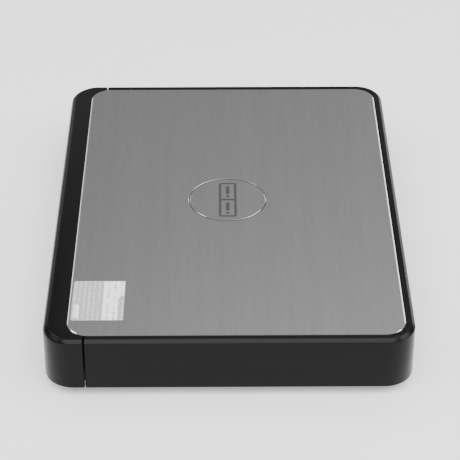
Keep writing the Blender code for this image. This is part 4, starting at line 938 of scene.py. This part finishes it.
port_shell = plain_metal("port_shell", (0.66, 0.67, 0.68), 0.24)
power_low, power_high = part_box("power_button")
CAP_DEPTH = 2.6 * MM
STEM_RADIUS = 2.0 * MM
power_dish = [
    (0.55, 0.0),
    (0.5, 1.6),
    (0.35, 2.9),
    (0.12, 3.8),
    (0.02, 4.05),
    (0.02, 4.3),
    (0.12, 4.55),
    (0.35, 4.7),
]
power_profile = [(power_low.y + depth * MM, radius * MM) for depth, radius in power_dish]
power_profile += [
    (power_low.y + CAP_DEPTH, power_profile[-1][1]),
    (power_low.y + CAP_DEPTH, STEM_RADIUS),
    (power_high.y, STEM_RADIUS),
    (power_high.y, 0.0),
]
button_plate = brushed_metal("button_plate", (0.16, 0.16, 0.165), (0.32, 0.32, 0.33), 0.3, 0.9, 0.01)
power_mesh = turned_mesh("power_button", "Y", power_centre, power_profile, 64, 50.0)
add_piece(power_mesh, button_plate, "power_key", "power_button")

# ---------------------------------------------------------------- base pan and feet
# The bottom is one textured black moulding with vent slots along both sides, screw wells in
# the corners and a lip inside the walls. Round rubber feet are stuck beside the wells.
inner_plastic = moulded_plastic(
    "inner_plastic", (0.02, 0.02, 0.021), (0.05, 0.05, 0.05), 0.52, 2.2, 0.03, 0.08, strength=0.6, polish=0.0
)
finer("base_pan", inner_plastic, "chassis", 0.2)

foot_rubber = moulded_plastic(
    "foot_rubber", (0.02, 0.02, 0.02), (0.04, 0.04, 0.04), 0.82, 1.6, 0.05, 0.05, strength=0.8
)
for number in (1, 2, 3, 4):
    low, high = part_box(f"foot_{number}")
    middle = node_middle(f"foot_{number}", 0, 1)
    radius = (high.x - low.x) / 2
    tread = [
        (0.35, radius / MM),
        (0.35, 2.8),
        (0.05, 2.5),
        (0.0, 2.2),
        (0.0, 1.2),
        (0.3, 0.4),
        (0.9, 0.05),
        (1.4, 0.0),
    ]
    profile = [(low.z + rise * MM, radius - inset * MM) for rise, inset in tread]
    profile += [(high.z, radius), (high.z, 0.0)]
    foot = turned_mesh(f"foot_{number}", "Z", middle, profile, 64, 50.0)
    add_piece(foot, foot_rubber, "chassis", f"foot_{number}")

# ---------------------------------------------------------------- case screws
# Plated steel screws with domed heads and a cross recess in each head. They are driven up
# through the wells in the corners of the base pan.
screw_steel = plain_metal("screw_steel", (0.42, 0.42, 0.44), 0.3)


def cross_screw(name, axis, centre, face, inward, head_radius, head_depth, shank_radius, length):
    """A turned screw: domed head, shank and point, with a cross cut into the head. face is
    the head's outermost place on the axis and inward is +1 or -1 along it."""
    cross_half, cross_arm = head_radius * 0.13, head_radius * 0.55
    reach = [
        (0.0, 0.0),
        (0.0, head_radius * 0.35),
        (0.12 * MM, head_radius * 0.75),
        (0.45 * MM, head_radius * 0.97),
        (0.7 * MM, head_radius),
        (head_depth, head_radius),
        (head_depth, shank_radius),
        (length - 0.8 * MM, shank_radius),
        (length, shank_radius * 0.5),
        (length, 0.0),
    ]
    body = turned_mesh(name, axis, centre, [(face + inward * along, r) for along, r in reach], 32)
    slots = []
    for half in ((cross_arm, cross_half), (cross_half, cross_arm)):
        span = (face - inward * OVERRUN, face + inward * min(0.9 * MM, head_depth * 0.7))
        slots.append(rounded_bar(axis, centre, half, head_radius * 0.1, span))
    return carve(body, slots)


for number in (1, 2, 3, 4):
    node = f"case_screw_{number}"
    low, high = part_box(node)
    head_radius, head_depth, shank_radius = 3.0 * MM, 1.5 * MM, 1.5 * MM
    middle = node_middle(node, 0, 1)
    length = high.z - low.z
    screw = cross_screw(node, "Z", middle, low.z, 1.0, head_radius, head_depth, shank_radius, length)
    add_piece(screw, screw_steel, "chassis", node)

# ---------------------------------------------------------------- rear panel
# A folded steel sheet, powder-coated black, with a grille of upright slots and an opening for
# each connector. It stands inside the case's rear opening.
dark_sheet = moulded_plastic(
    "dark_sheet", (0.018, 0.018, 0.019), (0.09, 0.09, 0.09), 0.5, 1.1, 0.05, 0.1, strength=0.5, polish=0.0
)
finer("rear_panel", dark_sheet, "chassis", 0.12)

# ---------------------------------------------------------------- front bezel
# The moulded frame behind the cover: it closes the front of the case round both bays, carries
# the lamp board's window and takes the cover's catch arms in its two ears.
finer("front_bezel", inner_plastic, "chassis", 0.2)

# ---------------------------------------------------------------- drive cage
# One bent zinc-plated sheet that carries both drives, with stamped openings. The plating
# shows a faint spangle of flat grey crystals.
zinc_sheet, zinc_shader = new_material("zinc_sheet", (0.55, 0.56, 0.58), 0.36, 1.0)
zinc = zinc_sheet.node_tree
crystals = zinc.nodes.new("ShaderNodeTexVoronoi")
crystals.inputs["Scale"].default_value = 0.14
zinc.links.new(object_point(zinc), crystals.inputs["Vector"])
flake = zinc.nodes.new("ShaderNodeSeparateColor")
zinc.links.new(crystals.outputs["Color"], flake.inputs["Color"])
zinc_tone = mix_colours(zinc, flake.outputs["Red"], (0.5, 0.51, 0.53), (0.62, 0.63, 0.65))
zinc.links.new(zinc_tone, zinc_shader.inputs["Base Color"])
zinc_gloss = maths(zinc, "MULTIPLY_ADD", flake.outputs["Green"], 0.16, 0.28)
zinc.links.new(zinc_gloss, zinc_shader.inputs["Roughness"])
bump(zinc, noise(zinc, object_point(zinc), 0.5), zinc_shader, 0.2, 0.04)
finer("drive_cage", zinc_sheet, "chassis", 0.12)

# ---------------------------------------------------------------- drive trays
# Two moulded trays, each with a slotted front, a swinging black handle on an upright steel
# pin, and four countersunk screws through its sides into the drive.
for bay in (1, 2):
    finer(f"tray_{bay}", inner_plastic, f"bay_{bay}", 0.25)
    finer(f"tray_{bay}_lever", casing_black, f"handle_{bay}", 0.35, 35.0, 3)
    finer(f"tray_{bay}_lever_pin", screw_steel, f"bay_{bay}", 0.1)
    tray_middle = node_middle(f"tray_{bay}", 0)[0]
    for number in (1, 2, 3, 4):
        node = f"tray_{bay}_screw_{number}"
        low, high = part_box(node)
        outer, inward = (low.x, 1.0) if high.x < tray_middle else (high.x, -1.0)
        head_radius, head_depth, shank_radius = (high.y - low.y) / 2, 1.2 * MM, 1.4 * MM
        middle = node_middle(node, 1, 2)
        length = high.x - low.x
        screw = cross_screw(node, "X", middle, outer, inward, head_radius, head_depth, shank_radius, length)
        add_piece(screw, screw_steel, f"bay_{bay}", node)

# ---------------------------------------------------------------- drives
# Standard 3.5-inch drives, plugged into the backplane at their rear: a cast alloy body whose
# lid has a stamped hub cover and is held by six round-socket screws, and a paper label with
# rows of grey dashes.
drive_alloy = plain_metal("drive_alloy", (0.3, 0.305, 0.32), 0.42, 1.8, 0.03, 0.4)
paper_print = printed_film("paper_print", (0.74, 0.74, 0.73), (0.16, 0.16, 0.17), 0.15, 0.2, 0.16, 0.5, 0.55)
SCREW_DOME = ((-0.8, 0.0), (-0.8, 2.4), (0.1, 2.4), (0.45, 2.0), (0.5, 1.1), (0.1, 0.9), (0.1, 0.0))
HUB_FROM_FRONT = 31.0 * MM
HUB_PROFILE = (
    (-0.4, 0.0),
    (-0.4, 19.0),
    (0.1, 19.0),
    (0.35, 18.6),
    (0.35, 14.2),
    (0.12, 13.8),
    (0.12, 5.0),
    (0.3, 4.6),
    (0.3, 0.0),
)
LID_SCREW_PLACES = ((-45, 8), (45, 8), (-45, 72), (45, 72), (-45, 136), (45, 136))
PAPER_HALF = (40.0 * MM, 36.0 * MM)
PAPER_FROM_FRONT = 92.0 * MM


def lid_fitting(name, place, lid, profile, segments, sharp=SHARP):
    """A turned fitting on a drive's lid: its profile is (height over the lid, radius) in mm."""
    metres = [(lid + rise * MM, radius * MM) for rise, radius in profile]
    return turned_mesh(name, "Z", place, metres, segments, sharp)


for bay in (1, 2):
    body = f"bay_{bay}"
    finer(f"drive_{bay}", drive_alloy, body, 0.3)
    finer(f"sata_socket_{bay}", inner_plastic, "chassis", 0.12)
    low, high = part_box(f"drive_{bay}")
    x = node_middle(f"drive_{bay}", 0)[0]
    heads = []
    for across, along in LID_SCREW_PLACES:
        place = (x + across * MM, low.y + along * MM)
        heads.append(lid_fitting("head", place, high.z, SCREW_DOME, 24))
    hub_place = (x, low.y + HUB_FROM_FRONT)
    hub_mesh = lid_fitting(f"hub_cover_{bay}", hub_place, high.z, HUB_PROFILE, 72, 12.0)
    hub_cover = add_piece(hub_mesh, drive_alloy, body)
    lid_screws = add_piece(joined_mesh(f"lid_screws_{bay}", heads), screw_steel, body)
    paper_outline = round_rectangle((-PAPER_HALF[0], -PAPER_HALF[1]), PAPER_HALF, 1.5 * MM, 6)
    paper_outline = paper_outline + (x, low.y + PAPER_FROM_FRONT)
    paper = sheet_from(paper_outline, high.z + 0.01 * MM, high.z + 0.08 * MM, f"drive_label_{bay}")
    drive_label = add_piece(paper, paper_print, body)

# ---------------------------------------------------------------- boards
# Green laminate with copper tracks under the solder mask: the main board behind the bays, the
# drive backplane, the lamp board at the front and the card reader board at the left.
board_green, board_shader = new_material("board_green", (0.012, 0.09, 0.04), 0.35)
board = board_green.node_tree
tracks, given, put = shader_group("board_tracks", {"Track width": 0.09}, {"Track": "NodeSocketFloat"})
cells = tracks.nodes.new("ShaderNodeTexVoronoi")
cells.distance = "MANHATTAN"
cells.feature = "F1"
cells.inputs["Scale"].default_value = 0.35
tracks.links.new(object_point(tracks), cells.inputs["Vector"])
steps = maths(tracks, "FRACT", maths(tracks, "MULTIPLY", cells.outputs["Distance"], 3.0))
ripple = maths(tracks, "ABSOLUTE", maths(tracks, "SUBTRACT", steps, 0.5))
tracks.links.new(maths(tracks, "LESS_THAN", ripple, given.outputs["Track width"]), put.inputs["Track"])
pattern = use_group(board, tracks)
board_tone = mix_colours(board, pattern.outputs["Track"], (0.01, 0.075, 0.032), (0.02, 0.15, 0.06))
board.links.new(board_tone, board_shader.inputs["Base Color"])
bump(board, pattern.outputs["Track"], board_shader, 0.4, 0.03)
for node in ("main_board", "backplane", "led_board", "sd_board", "memory_module"):
    finer(node, board_green, "chassis", 0.06, 30.0, 1)
finer("board_link", inner_plastic, "chassis", 0.15)

# ---------------------------------------------------------------- board parts
# Moulded chips and switches, the finned heat sink on its soft pad, the coin cell in its
# holder, the buzzer and the two flat cables.
chip_black = moulded_plastic("chip_black", (0.014, 0.014, 0.015), (0.03, 0.03, 0.03), 0.5, 4.0, 0.02)
switch_metal = plain_metal("switch_metal", (0.6, 0.5, 0.3), 0.34)
ribbon_film, ribbon_shader = new_material("ribbon_film", (0.75, 0.76, 0.77), 0.38)
ribbon = ribbon_film.node_tree
lanes = ribbon.nodes.new("ShaderNodeSeparateXYZ")
ribbon.links.new(object_point(ribbon), lanes.inputs["Vector"])
lane = maths(ribbon, "LESS_THAN", maths(ribbon, "FRACT", lanes.outputs["X"]), 0.45)
lane_tone = mix_colours(ribbon, lane, (0.8, 0.8, 0.81), (0.5, 0.5, 0.52))
ribbon.links.new(lane_tone, ribbon_shader.inputs["Base Color"])
bump(ribbon, lane, ribbon_shader, 0.4, 0.04)
for node, material in (
    ("processor", chip_black),
    ("copy_switch", chip_black),
    ("reset_switch", chip_black),
    ("power_switch", switch_metal),
    ("buzzer", inner_plastic),
    ("coin_cell", port_shell),
    ("coin_cell_holder", inner_plastic),
    ("thermal_pad", ribbon_film),
    ("led_cable", ribbon_film),
    ("sd_cable", ribbon_film),
    ("sd_socket", port_shell),
):
    finer(node, material, "chassis", 0.12)
finer("heat_sink", drive_alloy, "chassis", 0.15)

# ---------------------------------------------------------------- rear connectors
# Plated steel shells with moulded cores: the network jack, with eight gold contacts in it, and
# two pairs of USB sockets. The barrel power inlet is all plastic.
def line_cavity(piece, lining, skin):
    """Gives the lining material to every face whose centre lies more than skin inside the
    piece's box in X, Y and Z, which is the inside of its sockets."""
    mesh = piece.data
    mesh.materials.append(lining)
    middle = mesh_rows(mesh.polygons, "center")
    corner = mesh_rows(mesh.vertices, "co")
    deep = (middle > corner.min(axis=0) + skin) & (middle < corner.max(axis=0) - skin)
    mesh.polygons.foreach_set("material_index", deep.all(axis=1).astype(np.int32))


def contact_row(name, centre_x, count, pitch, width, low, high):
    """Slender bars side by side along X, all with the same Y and Z span."""
    first = centre_x - pitch * (count - 1) / 2.0 - width / 2.0
    bars = []
    for left in (first + pitch * i for i in range(count)):
        bars.append(box_mesh(name, (left, *low), (left + width, *high)))
    return bars


socket_blue = moulded_plastic("socket_blue", (0.012, 0.07, 0.32), (0.03, 0.12, 0.42), 0.4, 2.0, 0.01)
gold = plain_metal("gold", (0.83, 0.6, 0.24), 0.22)
for node, lining in (("usb2_ports", inner_plastic), ("usb3_ports", socket_blue)):
    ports = finer(node, port_shell, "chassis", 0.12)
    line_cavity(ports, lining, 0.35 * MM)
lan_jack = finer("lan_jack", port_shell, "chassis", 0.15)
line_cavity(lan_jack, inner_plastic, 0.4 * MM)
CONTACT_PITCH = 1.02 * MM
CONTACT_WIDTH = 0.45 * MM
lan_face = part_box("lan_jack")[1].y
lan_middle = node_middle("lan_jack", 0)[0]
contact_low = (lan_face - 9.5 * MM, 13.05 * MM)
contact_high = (lan_face - 1.6 * MM, 13.35 * MM)
contacts = contact_row("contact", lan_middle, 8, CONTACT_PITCH, CONTACT_WIDTH, contact_low, contact_high)
network_contacts = add_piece(joined_mesh("network_contacts", contacts), gold, "chassis")
finer("dc_jack", inner_plastic, "chassis", 0.15)

# ---------------------------------------------------------------- side and reset buttons
# A round black copy button on the left end, with a raised rim, and a small reset plunger
# behind its hole in the rear panel.
finer("copy_button", casing_black, "copy_key", 0.2, 25.0, 3)
finer("reset_button", inner_plastic, "reset_key", 0.12)
